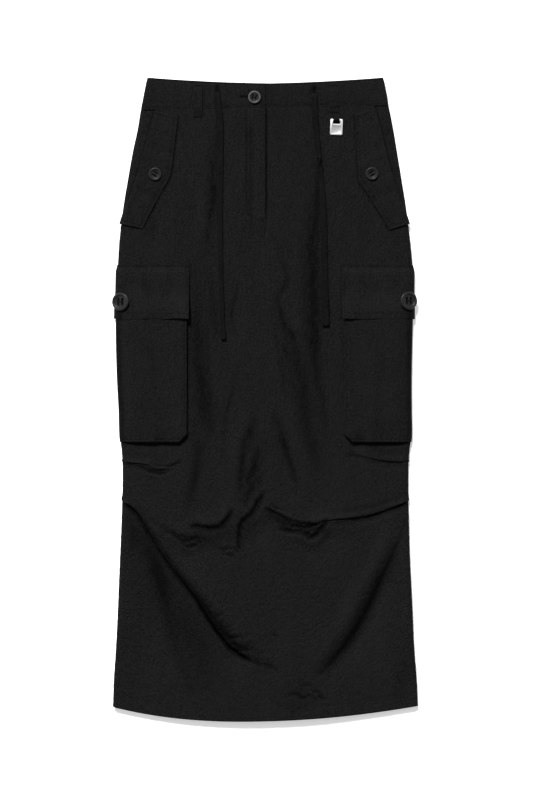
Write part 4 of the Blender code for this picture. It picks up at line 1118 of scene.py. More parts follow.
def build_weave() -> NodeTree:
    """Plain weave: threads that pass over and under each other, a little uneven."""
    group = Group("plain_weave", Cloth=None, Threads=1400.0, Slub=0.5)
    cloth = group.of("Cloth")
    parts = group.put("SeparateXYZ", i0=cloth).outputs
    turns = group.math("MULTIPLY", group.of("Threads"), math.pi)
    warp, weft = (group.math("SINE", group.math("MULTIPLY", parts[axis], turns)) for axis in (0, 1))
    cross = group.math("MULTIPLY_ADD", group.math("MULTIPLY", warp, weft), 0.5, 0.5)
    slubs = [group.noise(group.stretched(cloth, scale), 1.0, 2.0, 0.6)
             for scale in ((110.0, 620.0, 400.0), (620.0, 110.0, 400.0))]
    both = group.math("MAXIMUM", *slubs)
    grain = group.math("MULTIPLY", both, group.of("Slub"))
    group.give("Height", group.math("ADD", group.math("POWER", cross, 0.7), grain))
    group.give("Grain", both)
    return group.tree


def build_crinkle() -> NodeTree:
    """Crisp nylon crinkles: short low ridges and a soft unevenness between them."""
    group = Group("cloth_crinkle", Cloth=None, Scale=110.0, Sharpness=0.5)
    cloth = group.of("Cloth")
    bend = group.noise(cloth, 45.0, 2.0, 0.5, 1)
    pushed = group.put("VectorMath", {"operation": "MULTIPLY_ADD"}, i0=bend,
                       i1=(0.010, 0.010, 0.010), i2=cloth).outputs[0]
    place = group.put("SeparateXYZ", i0=pushed).outputs
    reach = group.math("ABSOLUTE", place[0])
    even = group.put("CombineXYZ", i0=reach, i1=place[1], i2=place[2]).outputs[0]
    streaks = []
    for vector, turn, close, far in ((pushed, 0.0, 320.0, 62.0), (even, 38.0, 300.0, 130.0)):
        drawn = group.stretched(vector, (1 / close, 1 / far, 0.01), "TEXTURE", turn)
        streaks.append(group.noise(drawn, 1.0, 3.0, 0.62))
    low = group.put("MapRange", {"interpolation_type": "SMOOTHSTEP"}, i0=place[1], i1=0.47, i2=0.66)
    streak = group.put("Mix", {"data_type": "FLOAT"}, i0=low.outputs[0], i2=streaks[0],
                       i3=streaks[1]).outputs[0]
    knots = group.noise(pushed, group.of("Scale"), 3.0, 0.6)
    fine = group.noise(cloth, 560.0, 2.0, 0.7)
    crisp = group.math("ABSOLUTE", group.math("SUBTRACT", streak, 0.5))
    crisp = group.math("MULTIPLY", crisp, group.of("Sharpness"))
    height = group.math("SUBTRACT", group.math("MULTIPLY_ADD", knots, 0.7, streak), crisp)
    group.give("Height", group.math("MULTIPLY_ADD", fine, 0.42, height))
    group.give("Mask", streak)
    return group.tree


def build_dye_and_painted_shade() -> NodeTree:
    """Dyed colour that varies a little over the cloth, paler along rubbed edges, with painted shade
    in hollows.
    """
    group = Group("dyed_cloth", Cloth=None, Edge=0.0, Grain=0.5, Streak=0.5, Deep=gray(0.01),
                  Pale=gray(0.03), Rubbed=0.5, Hollow=0.0, Shade=0.6)
    cloth, streak = group.of("Cloth"), group.of("Streak")
    broad = group.noise(group.stretched(cloth, (34.0, 7.0, 7.0)), 1.0, 4.0, 0.6)
    uneven = group.math("MULTIPLY_ADD", broad, 0.60, -2.35)
    speckle = group.math("MULTIPLY_ADD", group.noise(cloth, 430.0, 2.0, 0.7), 3.40, uneven)
    drawn_out = group.math("MULTIPLY_ADD", streak, 0.40, speckle)
    thread = group.math("MULTIPLY_ADD", group.of("Grain"), 1.20, drawn_out)
    paler_share = group.math("MULTIPLY", group.of("Edge"), group.of("Rubbed"))
    colour = group.mixed(group.math("ADD", thread, paler_share), group.of("Deep"), group.of("Pale"))
    # Painted shade: the colour is darkened by the painted shade amount times Shade, unevenly along
    # the streaks
    sunk = group.math("MULTIPLY", group.of("Hollow"), group.of("Shade"))
    rough = group.math("MULTIPLY_ADD", streak, -0.7, 1.35)
    kept = group.math("SUBTRACT", 1.0, group.math("MULTIPLY", sunk, rough))
    tint_with_painted_shade = group.put("VectorMath", {"operation": "SCALE"}, i0=colour,
                     Scale=group.math("MAXIMUM", kept, 0.08))
    group.give("Color", tint_with_painted_shade.outputs[0], "Color")
    return group.tree


def build_scuffs() -> NodeTree:
    """Fine scuffs and dust on hard pieces, running mostly one way."""
    group = Group("fine_scuffs", Place=None, Across=2600.0, Along=160.0)
    place, across = group.of("Place"), group.of("Across")
    scale = group.put("CombineXYZ", i0=across, i1=group.of("Along"), i2=across).outputs[0]
    drawn = group.put("VectorMath", {"operation": "MULTIPLY"}, i0=place, i1=scale).outputs[0]
    group.give("Lines", group.noise(drawn, 1.0, 3.0, 0.65))
    group.give("Spots", group.noise(place, 320.0, 4.0, 0.6))
    return group.tree


@dataclass
class ShaderKit:
    """The shader groups that the finishes share, each built once."""

    weave: NodeTree
    crinkle: NodeTree
    dye: NodeTree
    scuffs: NodeTree

    @classmethod
    def build(cls) -> ShaderKit:
        """Builds every group."""
        return cls(build_weave(), build_crinkle(), build_dye_and_painted_shade(), build_scuffs())


# --- Finishes ---


class Look(Graph):
    """A new material with its main shader."""

    def __init__(self, name: str) -> None:
        """Makes the material."""
        self.material = bpy.data.materials.new(name)
        self.material.use_nodes = True
        super().__init__(self.material.node_tree)
        self.shader = self.tree.nodes["Principled BSDF"]

    def attribute(self, name: str, output: str = "Fac") -> NodeSocket:
        """One of the mesh's own attributes."""
        return self.put("Attribute", {"attribute_name": name}).outputs[output]

    def object_place(self) -> NodeSocket:
        """Places in the object's own coordinates."""
        return self.put("TexCoord").outputs["Object"]

    def group(self, tree: NodeTree, **inputs: object) -> bpy_prop_collection:
        """The outputs of a shader group with its own values."""
        return self.put("Group", {"node_tree": tree}, **inputs).outputs

    def bumped(self, height: NodeSocket, depth: float, strength: float = 1.0,
               **inputs: object) -> NodeSocket:
        """A normal that a height of some depth disturbs."""
        node = self.put("Bump", Strength=strength, Distance=depth, Height=height, **inputs)
        return node.outputs[0]


@dataclass(frozen=True)
class NylonFinish:
    """Matt black nylon with a fine plain weave, light crinkles and painted shade in its hollows."""

    name: str = "black_nylon"
    deep: float = 0.0023
    pale: float = 0.0084
    rubbed: float = 0.10
    threads: float = 1400.0
    crinkle_scale: float = 130.0
    crinkle_height: float = 0.0015
    weave_height: float = 0.00010
    roughness: float = 0.64
    specular: float = 0.04
    # How strongly the painted shade darkens the colour in hollows and creases
    shade: float = 0.80

    def material(self, kit: ShaderKit) -> Material:
        """Builds the material."""
        look = Look(self.name)
        cloth = look.attribute("cloth", "Vector")
        weave = look.group(kit.weave, Cloth=cloth, Threads=self.threads, Slub=0.6)
        crinkle = look.group(kit.crinkle, Cloth=cloth, Scale=self.crinkle_scale, Sharpness=0.45)
        dye = look.group(
            kit.dye, Cloth=cloth, Edge=look.attribute("edge"), Grain=weave["Grain"],
            Streak=crinkle["Mask"], Deep=gray(self.deep, 1.06), Pale=gray(self.pale, 1.06),
            Rubbed=self.rubbed, Hollow=look.attribute("hollow"), Shade=self.shade)
        low = look.bumped(crinkle["Height"], self.crinkle_height)
        look.fill(
            look.shader, Base_Color=dye["Color"], Specular_IOR_Level=self.specular,
            Roughness=look.math("MULTIPLY_ADD", crinkle["Mask"], 0.16, self.roughness - 0.08),
            Normal=look.bumped(weave["Height"], self.weave_height, Normal=low))
        return look.material


@dataclass(frozen=True)
class ScuffedFinish:
    """A finish with fine scuffs in its colour, its roughness and its surface.

    grain is how close the scuffs lie across and along. paler_share is how much the scuffs and how
    much the edges turn the deep gray into the pale one: wear on steel, and a painted highlight on the
    buttons' rims. own says that the mesh brings its own places.
    """

    name: str
    deep: float
    pale: float
    blue: tuple[float, float]
    grain: tuple[float, float]
    paler_share: tuple[float, float]
    smoothest: float
    uneven: float
    bump: tuple[float, float]
    specular: float = 0.5
    metallic: float = 0.0
    coat: float = 0.0
    own: bool = True
    masks: tuple[str, str] = ("Lines", "Spots")

    def material(self, kit: ShaderKit) -> Material:
        """Builds the material."""
        look = Look(self.name)
        place = look.attribute("own", "Vector") if self.own else look.object_place()
        scuffs = look.group(kit.scuffs, Place=place, Across=self.grain[0], Along=self.grain[1])
        edge = look.math("MULTIPLY", look.attribute("edge"), self.paler_share[1])
        share = look.math("MULTIPLY_ADD", scuffs[self.masks[0]], self.paler_share[0], edge)
        deep, pale = gray(self.deep, self.blue[0]), gray(self.pale, self.blue[1])
        look.fill(
            look.shader, Specular_IOR_Level=self.specular, Metallic=self.metallic,
            Coat_Weight=self.coat, Coat_Roughness=0.18, Base_Color=look.mixed(share, deep, pale),
            Roughness=look.math("MULTIPLY_ADD", scuffs[self.masks[1]], self.uneven, self.smoothest),
            Normal=look.bumped(scuffs["Lines"], self.bump[1], self.bump[0]))
        return look.material


@dataclass(frozen=True)
class ThreadFinish(ScuffedFinish):
    """Black sewing thread with a slight shine."""

    name: str = "black_thread"
    deep: float = 0.00312
    pale: float = 0.0078
    blue: tuple[float, float] = (1.05, 1.05)
    grain: tuple[float, float] = (2400.0, 900.0)
    paler_share: tuple[float, float] = (1.0, 0.0)
    smoothest: float = 0.50
    uneven: float = 0.20
    bump: tuple[float, float] = (0.6, 0.00008)
    specular: float = 0.03
    own: bool = False


@dataclass(frozen=True)
class PlasticFinish(ScuffedFinish):
    """Polished dark plastic, scuffed a little, with a painted highlight that makes its rim paler."""

    name: str = "button_plastic"
    deep: float = 0.0095
    pale: float = 0.0125
    blue: tuple[float, float] = (1.02, 1.0)
    grain: tuple[float, float] = (900.0, 700.0)
    paler_share: tuple[float, float] = (0.25, 0.75)
    smoothest: float = 0.30
    uneven: float = 0.24
    bump: tuple[float, float] = (0.35, 0.00006)
    specular: float = 0.12
    coat: float = 0.02
    masks: tuple[str, str] = ("Spots", "Lines")


@dataclass(frozen=True)
class SteelFinish(ScuffedFinish):
    """Satin steel, brushed along its length, with bright rubbed edges."""

    name: str = "brushed_steel"
    deep: float = 0.50
    pale: float = 0.90
    blue: tuple[float, float] = (0.99, 0.99)
    grain: tuple[float, float] = (5200.0, 140.0)
    paler_share: tuple[float, float] = (0.45, 0.55)
    smoothest: float = 0.26
    uneven: float = 0.25
    bump: tuple[float, float] = (0.5, 0.00005)
    metallic: float = 0.70


@dataclass(frozen=True)
class FloorFinish:
    """A plain pale floor with the faintest mottling."""

    name: str = "pale_floor"
    colour: float = 0.90

    def material(self, kit: ShaderKit) -> Material:
        """Builds the material."""
        look = Look(self.name)
        cloud = look.noise(look.object_place(), 1.5, 2.0, 0.5)
        colour = look.mixed(cloud, gray(self.colour), gray(self.colour + 0.02))
        look.fill(look.shader, Base_Color=colour, Roughness=0.9, Specular_IOR_Level=0.1,
                  Emission_Color=gray(1.0), Emission_Strength=0.45)
        return look.material


@dataclass
class Wardrobe:
    """Every finished material of the skirt."""

    nylon: Material
    tie: Material
    thread: Material
    plastic: Material
    waist_plastic_painted_highlight: Material
    steel: Material

    @classmethod
    def build(cls, kit: ShaderKit) -> Wardrobe:
        """Builds every material from its finish."""
        # The ties get a darker copy of the skirt's nylon: the extra darkness is painted shade
        tie = NylonFinish(name="tie_nylon", deep=0.0014, pale=0.0052, crinkle_scale=160.0,
                          crinkle_height=0.00020, specular=0.03)
        # A lit copy of the button plastic: its much paler rim is a painted highlight
        waist = PlasticFinish(name="waist_button_plastic", deep=0.006, pale=0.072, smoothest=0.24)
        return cls(NylonFinish().material(kit), tie.material(kit), ThreadFinish().material(kit),
                   PlasticFinish().material(kit), waist.material(kit), SteelFinish().material(kit))


# --- Putting pieces on the model ---


def report(piece: Object, nodes: Sequence[str]) -> None:
    """Says in the log what a piece is and what it stands for."""
    triangles = sum(len(face.vertices) - 2 for face in piece.data.polygons)
    shown = ", ".join(nodes) or "nothing"
    log.info("%s: %d triangles, stands for %s", piece.name, triangles, shown)


def put_on(
    piece: Object, slot: Slot, nodes: Sequence[str] = (), body: str = SKIRT_BODY
) -> Object:
    """Makes a piece ride on a body and stand for its solids.

    Args:
        piece: The piece.
        slot: The material slot of its finish; not used.
        nodes: The solids that it stands for.
        body: The body that it moves with.

    Returns:
        The piece.
    """
    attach(piece, body)
    if nodes:
        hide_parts(*nodes)
    report(piece, nodes)
    return piece


def sew(
    node: str, laid: Laid, wall: float, wardrobe: Wardrobe, rests_on: Sequence[str], hold: Hold,
    book: StitchBook | None = None, cloth: Material | None = None,
) -> None:
    """Makes a sewn piece: its shell, its stitches, and how large the part that shows was cut.

    Args:
        node: The solid that it stands for.
        laid: Its laid outer face.
        wall: Its thickness.
        wardrobe: The finished materials.
        rests_on: What it lies on; not used.
        hold: How it is kept in its shape; not used.
        book: Its stitches, or None where it has none.
        cloth: Its cloth, or None for the skirt's own.
    """
    piece = put_on(shell(f"{node}_cloth", laid, wall, cloth or wardrobe.nylon), Slot.NYLON, [node])
    if book:
        put_on(book.build(f"{node}_stitches", wardrobe.thread), Slot.NYLON)
    flat = tuple(max(size, LEAST_SIZE) for size in laid.span)
    area = min(laid.area, flat[0] * flat[1])
    list(rests_on)
    log.info("%s: flat %.3f x %.3f m, area %.4f m2", piece.name, *flat, area)


def surface_of(form: SkirtForm, lift: Callable[[Array, Array], Array]) -> Surface:
    """A function that gives points and normals of a piece's outer face.

    Args:
        form: The form that the piece is laid on.
        lift: Height of the outer face at places u and down.

    Returns:
        The function of u and down.
    """

    def surface(u: Array, down: Array) -> tuple[Array, Array]:
        """Points and normals at places u and down."""
        base = form.frame(u, down)
        return base.point + base.normal * np.asarray(lift(u, down))[..., None], base.normal

    return surface


def mirrored(half: Callable[[int], tuple[Array, Array]]) -> tuple[Array, Array]:
    """Places on the back from the left seam to the right one.

    Args:
        half: Gives u and down from the seam to the centre line, for a sign.

    Returns:
        The places u and down.
    """
    left, right = half(1), half(-1)
    u, down = (np.concatenate([a, b[:, -2::-1]], axis=1) for a, b in zip(left, right))
    return u, down


# --- Front and back panels ---


@dataclass(frozen=True)
class Tuck:
    """A fold of the front panel that runs across it, from the side seam inwards.

    Each row of a table begins with the reach. Along the line the cloth is folded over itself where
    folded is 1, and is a sharp trough where open is 1. lip is the folded edge's height and limb how
    far the cloth turns back under it.
    """

    line: Rows
    folded: Rows
    open: Rows
    lip: float
    limb: float
    trough: float
    margin: float = 0.014


FOLDED_SECTION = np.reshape((-140, 0, -110, 4, -85, 14, -62, 34, -42, 62, -26, 88, -13, 100, -4,
    94, 0, 72, -3, 48, -14, 36, -30, 33, -42, 24, -44, 8, -36, -6, -20, -12, 2, -22, 16, -34, 34,
    -38, 58, -30, 86, -16, 114, -5, 140, 0), (-1, 2)) / (10, 100)

OPEN_SECTION = np.reshape((-140, 0, -115, 10, -92, 22, -72, 28, -54, 24, -40, 8, -30, -16, -22,
    -44, -15, -70, -10, -86, -5, -96, 0, -100, 5, -96, 10, -82, 16, -62, 23, -42, 31, -26, 41,
    -14, 54, -6, 70, -2, 90, 0, 115, 0, 140, 0), (-1, 2)) / (10, 100)

RIGHT_TUCKS = (
    Tuck(places(2, 0, 5435, 1120, 5440, 1206, 5470, 1481, 5580, 1714, 5502, 1979, 5470, 2060,
        5458), course(0, 0, 1250, 0, 1450, 45, 1650, 75, 1900, 90, 2060, 100, width=2), course(0, 0,
        1160, 0, 1240, 50, 1400, 50, 1600, 15, 2060, 0, width=2), 0.0018, 0.6, 0.002, 0.011),
    Tuck(places(2, 0, 8400, 166, 8317, 479, 8145, 728, 7833, 978, 7458, 1260, 7052, 1572, 6583,
        1838, 6160, 2060, 6005), course(0, 0, 800, 0, 1050, 35, 1300, 80, 1500, 100, 2060,
        100, width=2), course(0, 0, 200, 15, 450, 60, 700, 100, 950, 90, 1200, 30, 1450, 0, 2060,
        0, width=2), 0.0034, 1.0, 0.0042),
)

LEFT_TUCKS = (
    Tuck(places(2, 0, 5420, 1140, 5390, 1200, 5380, 1500, 5425, 1750, 5455, 2060, 5462), course(0, 0,
        1180, 0, 1350, 50, 1550, 80, 2060, 100, width=2), course(0, 0, 1080, 0, 1200, 40, 1350, 30,
        1500, 0, 2060, 0, width=2), 0.0019, 0.5, 0.0018),
    Tuck(places(2, 0, 6140, 189, 6288, 388, 6370, 615, 6390, 842, 6316, 1200, 6268, 1552, 6193,
        1800, 6108, 2060, 6008), course(0, 0, 700, 0, 900, 55, 1100, 80, 1400, 100, 2060,
        100, width=2), course(0, 0, 250, 30, 450, 70, 620, 100, 800, 70, 1000, 20, 1200, 0, 2060,
        0, width=2), 0.0028, 0.9, 0.003),
)

RIGHT_FLAP_ROWS = places(3, 478, 560, 1243, 700, 840, 1277, 950, 1130, 1313, 1230, 1410, 1352,
    1480, 1640, 1482, 1740, 1880, 1612, 1950, 2060, 1703, 2085, 2150, 1750)

LEFT_FLAP_ROWS = places(3, 440, 535, 1262, 680, 840, 1285, 950, 1170, 1305, 1250, 1480, 1325, 1500,
    1690, 1465, 1750, 1900, 1597, 1950, 2070, 1705, 2085, 2168, 1762)


@dataclass
class SidePiece:
    """A sub-assembly of one side of the skirt."""

    side: Side
    form: SkirtForm

    @property
    def sign(self) -> int:
        """-1 on the right side and 1 on the left."""
        return self.side.value

    @property
    def label(self) -> str:
        """The side's word in the names of pieces."""
        return self.side.label

    @property
    def on_front(self) -> list[str]:
        """What a piece that lies on the front panel rests on."""
        return [f"front_{self.label}_cloth"]


@dataclass
class FrontPanel(SidePiece):
    """One front panel: slanted pocket mouth, fly lap, side tucks, folds and a turned hem."""

    tucks: tuple[Tuck, Tuck]
    creases: tuple[Crease | Crumple, ...]
    wall: float = 0.0007
    gap: float = 0.00006
    seam_gap: float = 0.0006
    fly_tab: float = 0.0085
    fly_end: float = 0.198
    fly_lines: tuple[float, float] = (0.0218, 0.0275)
    lap_rise: float = 0.0016
    columns: int = 112
    upper_pitch: float = 0.0036
    between_rows: int = 104
    lower_rows: int = 98

    def front_reach(self, down: Array) -> Array:
        """Distance round the tube of every column, for a column of downs of shape rows by 1."""
        steps = (0.0, 0.0006, 0.0016)
        turn = self.form.fold_arc / 2 * np.array([0.2, 0.42, 0.64, 0.86, 0.94, 1.0])
        share = np.concatenate([[0.0] * 3, np.linspace(0.014, 1.0, self.columns), [1.0] * 6])
        shift = np.concatenate([steps, np.zeros(self.columns), turn])
        sign = self.sign
        outer = self.form.seam_reach(sign, down) - self.form.mouth_inboard(down) - self.seam_gap / 2
        tab = self.fly_tab * (1.0 - smooth(down, 0.185, self.fly_end)) * (self.side is Side.LEFT)
        return between(self.gap / 2 - tab, outer - self.form.fold_arc / 2, share) + shift

    def tuck_rows(self, tuck: Tuck, reach: Array) -> tuple[Array, Array]:
        """The down and lift of each line of a tuck's section.

        Args:
            tuck: The tuck.
            reach: The reach of each column.

        Returns:
            The down and the lift by section row and column.
        """
        line = read(tuck.line, reach)
        folded = np.clip(read(tuck.folded, reach), 0.0, 1.0)[None]
        opened = np.clip(read(tuck.open, reach), 0.0, 1.0)[None] * (1.0 - 0.6 * folded)
        fold, open_ = np.array(FOLDED_SECTION), np.array(OPEN_SECTION)
        even = np.linspace(-tuck.margin, tuck.margin, len(fold))[:, None]
        limb = np.where(np.abs(fold[:, :1]) < 4.5, tuck.limb, 1.0)
        drop = even + folded * (fold[:, :1] * limb * MM - even)
        drop = drop + opened * (1.0 - folded) * (open_[:, :1] * MM - even)
        uneven = 1.0 + 0.16 * ripple(reach, 0.031, 5.0 * tuck.lip / MM)
        lift = folded * tuck.lip * fold[:, 1:] + opened * tuck.trough * open_[:, 1:]
        return line + drop, lift * uneven

    def grid(self) -> tuple[Array, Array, Array]:
        """Places u and down and the tucks' lift for every point of the panel."""
        sign, form = self.sign, self.form
        reach = self.front_reach(np.full((1, 1), 0.60))[0]
        upper, upper_lift = self.tuck_rows(self.tucks[0], reach)
        lower, lower_lift = self.tuck_rows(self.tucks[1], reach)
        top = self.front_reach(np.full((1, 1), 0.045))[0]
        top_row = form.band_seam(sign * top / form.seam_reach(sign, 0.045)) + self.gap / 2
        levels = np.concatenate([
            np.arange(0.0510, 0.2085, self.upper_pitch), [0.2092, 0.2102, 0.2112],
            np.arange(0.2138, 0.5200, self.upper_pitch),
        ])
        flat = np.zeros(len(reach))
        hem = form.hem_line(sign * reach / form.seam_reach(sign, 0.88))
        gather = np.linspace(0.0, 1.0, 5)[1:-1, None]
        middle = np.linspace(0.0, 1.0, self.between_rows + 2)[1:-1, None]
        share = np.linspace(0.0, 1.0, self.lower_rows + 1)[1:, None]
        above = np.concatenate([
            top_row + np.array([[0.0], [0.0006], [0.0016], [0.0032]]), levels[:, None] + flat,
            between(levels[-1] + flat, upper[0], gather)])
        amid = between(upper[-1], lower[0], middle)
        below = np.concatenate([between(lower[-1], hem - 0.0016, share), [hem - 0.0007, hem]])
        down = np.concatenate([above, upper, amid, lower, below])
        lift = np.concatenate([0.0 * above, upper_lift, 0.0 * amid, lower_lift, 0.0 * below])
        u = sign * np.array([self.front_reach(row) for row in down[:, None, :]])[:, 0, :]
        return u, down, lift

    def seam_puckers(self, u: Array, down: Array) -> Array:
        """Small puckers along the waist seam, fly stitching, mouth, hem and side seam."""
        reach = np.abs(u)
        waist = self.form.band_seam(u / 0.185)
        lift = 0.00026 * ripple(u, 0.0105, 1.0) * fall(down - waist, 0.0080)
        inboard = self.form.seam_reach(self.sign, down) - self.form.mouth_inboard(down) - reach
        mouth = fall(inboard, 0.0050) * (down < 0.215)
        lift = lift + (0.00022 * ripple(down, 0.0120, 2.0) + 0.0005) * mouth
        hem = self.form.hem_line(np.clip(u / 0.222, -1, 1)) - down
        lift = lift + 0.00030 * ripple(u, 0.0170, 3.0) * bell(hem - 0.018, 0.010)
        side = fall(inboard, 0.0060) * (down > 0.22)
        lift = lift + 0.00030 * ripple(down, 0.0150, 4.0) * side
        seam = smooth(down, 0.205, 0.225) * np.exp(-reach / 0.0030)
        lift = lift - 0.00012 * seam * (1.0 + 0.35 * ripple(down, 0.0190, 5.0))
        if self.side is Side.LEFT:
            return lift - 0.0005 * bell(u - 0.0020, 0.0014) * window(down, 0.046, 0.198, 0.004)
        fly = 1.0 - smooth(down, 0.180, 0.215)
        for line in self.fly_lines:
            close = bell(reach - line, 0.0016)
            lift = lift - 0.00022 * close * fly * (1.0 + 0.5 * ripple(down, 0.0080, 6.0))
        return lift

    def soft_sway(self, u: Array, down: Array) -> Array:
        """Long low undulations of cloth that doesn't lie quite flat."""
        warp = 0.010 * ripple(down, 0.210, 0.9) + 0.004 * ripple(down, 0.083, 2.2)
        column = ripple(u + warp, 0.046, 1.3) * window(down, 0.10, 0.56, 0.08)
        lower = ripple(u * 0.7 + down * 0.35 + 0.3 * warp, 0.055, 0.4)
        lower = lower * window(down, 0.62, 0.86, 0.05)
        fade = 1.0 - smooth(np.abs(u), 0.165, 0.190)
        return (0.00030 * column + 0.00022 * lower) * fade

    def painted_contact_shadows(self) -> tuple[Crease, ...]:
        """Lines of painted shadow on the panel along the edges of the flaps and the pocket that lie
        on it.
        """
        sign = self.sign
        rows = RIGHT_FLAP_ROWS if self.side is Side.RIGHT else LEFT_FLAP_ROWS
        hip = [(sign * (reach - 0.0006), down, 1.0) for _, down, reach in rows]
        hip.append((sign * 0.200, rows[-1][0] + 0.0012, 1.0))
        cargo = [(sign * across, down, share) for across, down, share in course(
            1080, 2640, 20, 1080, 3440, 80, 1112, 3520, 10, 1112, 5070, 10, 1225, 5190, 140,
            2050, 5190, 120)]
        lines = (hip, cargo[:2], cargo[2:4], cargo[3:5], cargo[4:])
        return tuple(Crease(0.0, 0.0016, tuple(line), 0.0, 1, 0.0002, shade=0.75) for line in lines)

    def creased(self, u: Array, down: Array) -> tuple[Array, Array]:
        """The height and the painted shade that the creases add, which fade out towards the side
        fold.
        """
        across = np.sign(u + 1e-9) * np.minimum(np.abs(u), self.form.flat_reach(self.sign, down))
        lift, shade = crease_effect(self.creases + self.painted_contact_shadows(), across, down)
        fade = 1.0 - smooth(np.abs(u), 0.188, 0.204)
        return lift * fade, shade

    def lift(self, u: Array, down: Array) -> Array:
        """Height of the panel's outer face above the form, without its tucks."""
        lift, _ = self.creased(u, down)
        lift = lift + self.seam_puckers(u, down) + self.soft_sway(u, down)
        if self.side is Side.RIGHT:
            reach = np.abs(u)
            lap = (1.0 - smooth(reach, 0.010, 0.022)) * (1.0 - smooth(down, 0.200, 0.227))
            near_band = (1.0 - smooth(reach, 0.037, 0.057)) * (1.0 - smooth(down, 0.046, 0.090))
            lift = lift + np.maximum(self.lap_rise * lap, 0.0021 * near_band)
        return lift

    def stitch_rows(self) -> StitchBook:
        """The panel's rows of stitches: fly, pocket mouth and hem."""
        book = StitchBook()
        surface = surface_of(self.form, self.lift)
        sign, form = self.sign, self.form
        if self.side is Side.RIGHT:
            for line, corner in zip(self.fly_lines, (0.0, 0.0045)):
                book.row(surface, (
                    (-line, 0.0475), (-line, 0.100), (-line, 0.150), (-line, 0.176 + corner),
                    (-line + 0.0045, 0.190 + corner), (-line + 0.0110, 0.1955 + corner),
                    (-0.0012, 0.1985 + corner)))
            book.bar(surface, -0.0040, 0.2010, 0.0060, 0.0018)
        mouth = []
        for down in np.arange(0.050, 0.206, 0.012):
            reach = float(form.seam_reach(sign, down) - form.mouth_inboard(down)) - 0.0028
            mouth.append((sign * reach, down))
        book.row(surface, mouth)
        share = sign * np.linspace(0.004, 0.992, 40)
        down = form.hem_line(share) - HEM
        book.row(surface, np.stack([share * form.seam_reach(sign, down), down], axis=-1))
        return book

    def build(self, wardrobe: Wardrobe) -> None:
        """Builds and dresses the panel and its stitches."""
        u, down, tuck_lift = self.grid()
        fade = 1.0 - 0.75 * smooth(np.abs(u), self.form.flat_reach(self.sign, down) - 0.004,
                                   self.form.seam_reach(self.sign, down) - 0.004)
        roll = np.where((np.abs(u) < 0.002) & (down > 0.2), 0.0001, 0.0004)
        _, shade = self.creased(u, down)
        laid = lay(self.form, u, down, self.lift(u, down) + tuck_lift * fade, roll, shade)
        sew(f"front_{self.label}", laid._replace(tucked=True), self.wall, wardrobe, ["back"],
            Hold.LAID, self.stitch_rows())


BACK_CREASES = (
    Crease(0.0012, 0.006, course(600, 1000, 0, 640, 1700, 100, 710, 2500, 70, 750, 3300, 0)),
    Crease(0.001, 0.006, course(-580, 1200, 0, -660, 1900, 100, -690, 2700, 60, -700, 3400, 0)),
    Crease(0.0022, 0.0032, course(-1500, 6000, 20, -1050, 6130, 100, -600, 6040, 80, -200, 6180,
        30), 0.4),
    Crease(0.0018, 0.003, course(200, 6400, 20, 620, 6550, 100, 1100, 6410, 80, 1500, 6500,
        20), 0.4),
    Crease(0.0026, 0.0042, course(-1700, 6600, 20, -1300, 7200, 90, -800, 7900, 100, -300, 8350,
        30), 0.3),
    Crease(0.0024, 0.0042, course(1650, 6900, 20, 1350, 7420, 100, 950, 8000, 80, 600, 8350,
        20), 0.3, -1),
    Crease(0.001, 0.002, course(-450, 6550, 30, -260, 6640, 100, -80, 6590, 30), 0.4),
    Crease(0.001, 0.002, course(150, 7000, 30, 360, 7080, 100, 520, 7020, 30), 0.4),
)


@dataclass
class BackPanel:
    """The back in one piece, from side seam to side seam under the skirt."""

    form: SkirtForm
    wall: float = 0.0007
    seam_gap: float = 0.0006
    gap: float = 0.00004
    row_pitch: float = 0.0034
    columns: int = 62

    def lift(self, u: Array, down: Array) -> Array:
        """Height above the form, never below the floor: hollows pressed in from outside."""
        sign = np.where(u < 0, -1, 1)
        across = sign * (2 * self.form.seam_reach(sign, down) - np.abs(u))
        hollow, _ = crease_effect(BACK_CREASES, across, down)
        fade = 1.0 - smooth(np.abs(across), 0.175, 0.195)
        sway = 0.0004 * (ripple(across + 0.1 * down, 0.060, 0.8) - 1.0)
        sway = sway * window(down, 0.10, 0.84, 0.05)
        waist = self.form.band_seam(across / 0.185)
        close = fall(down - waist, 0.008)
        pucker = 0.0002 * (ripple(across, 0.0105, 1.0) - 1.0) * close
        return np.minimum(hollow, 0.0) * fade + sway * fade + pucker

    def half(self, sign: int) -> tuple[Array, Array]:
        """Places u and down of every point from one side seam to the centre line."""
        form = self.form
        place = np.concatenate([[1.0, 0.9972, 0.991], np.linspace(0.980, 0.0, self.columns)])
        levels = np.linspace(0.0, 1.0, round(0.84 / self.row_pitch))[:, None]
        top, hem = form.band_seam(sign * place) + self.gap / 2, form.hem_line(sign * place)
        down = np.concatenate([
            [top, top + 0.0008], between(top + 0.0026, hem - 0.0016, levels), [hem - 0.0007, hem]])
        reach = form.seam_reach(sign, down) * (2.0 - place) + self.seam_gap / 2 * (place > 0.98)
        return sign * reach, down

    def build(self, wardrobe: Wardrobe) -> None:
        """Builds and dresses the back and its stitches."""
        u, down = mirrored(self.half)
        laid = lay(self.form, u, down, self.lift(u, down), roll=0.0003)
        book = StitchBook(pitch=0.0030)
        surface = surface_of(self.form, self.lift)
        for sign in (1, -1):
            share = np.linspace(0.994, 0.004, 40)
            low = self.form.hem_line(sign * share) - HEM
            reach = self.form.seam_reach(sign, low) * (2.0 - share)
            book.row(surface, np.stack([sign * reach, low], axis=-1))
        sew("back", laid, self.wall, wardrobe, [], Hold.LAID, book)


# --- Waistband ---


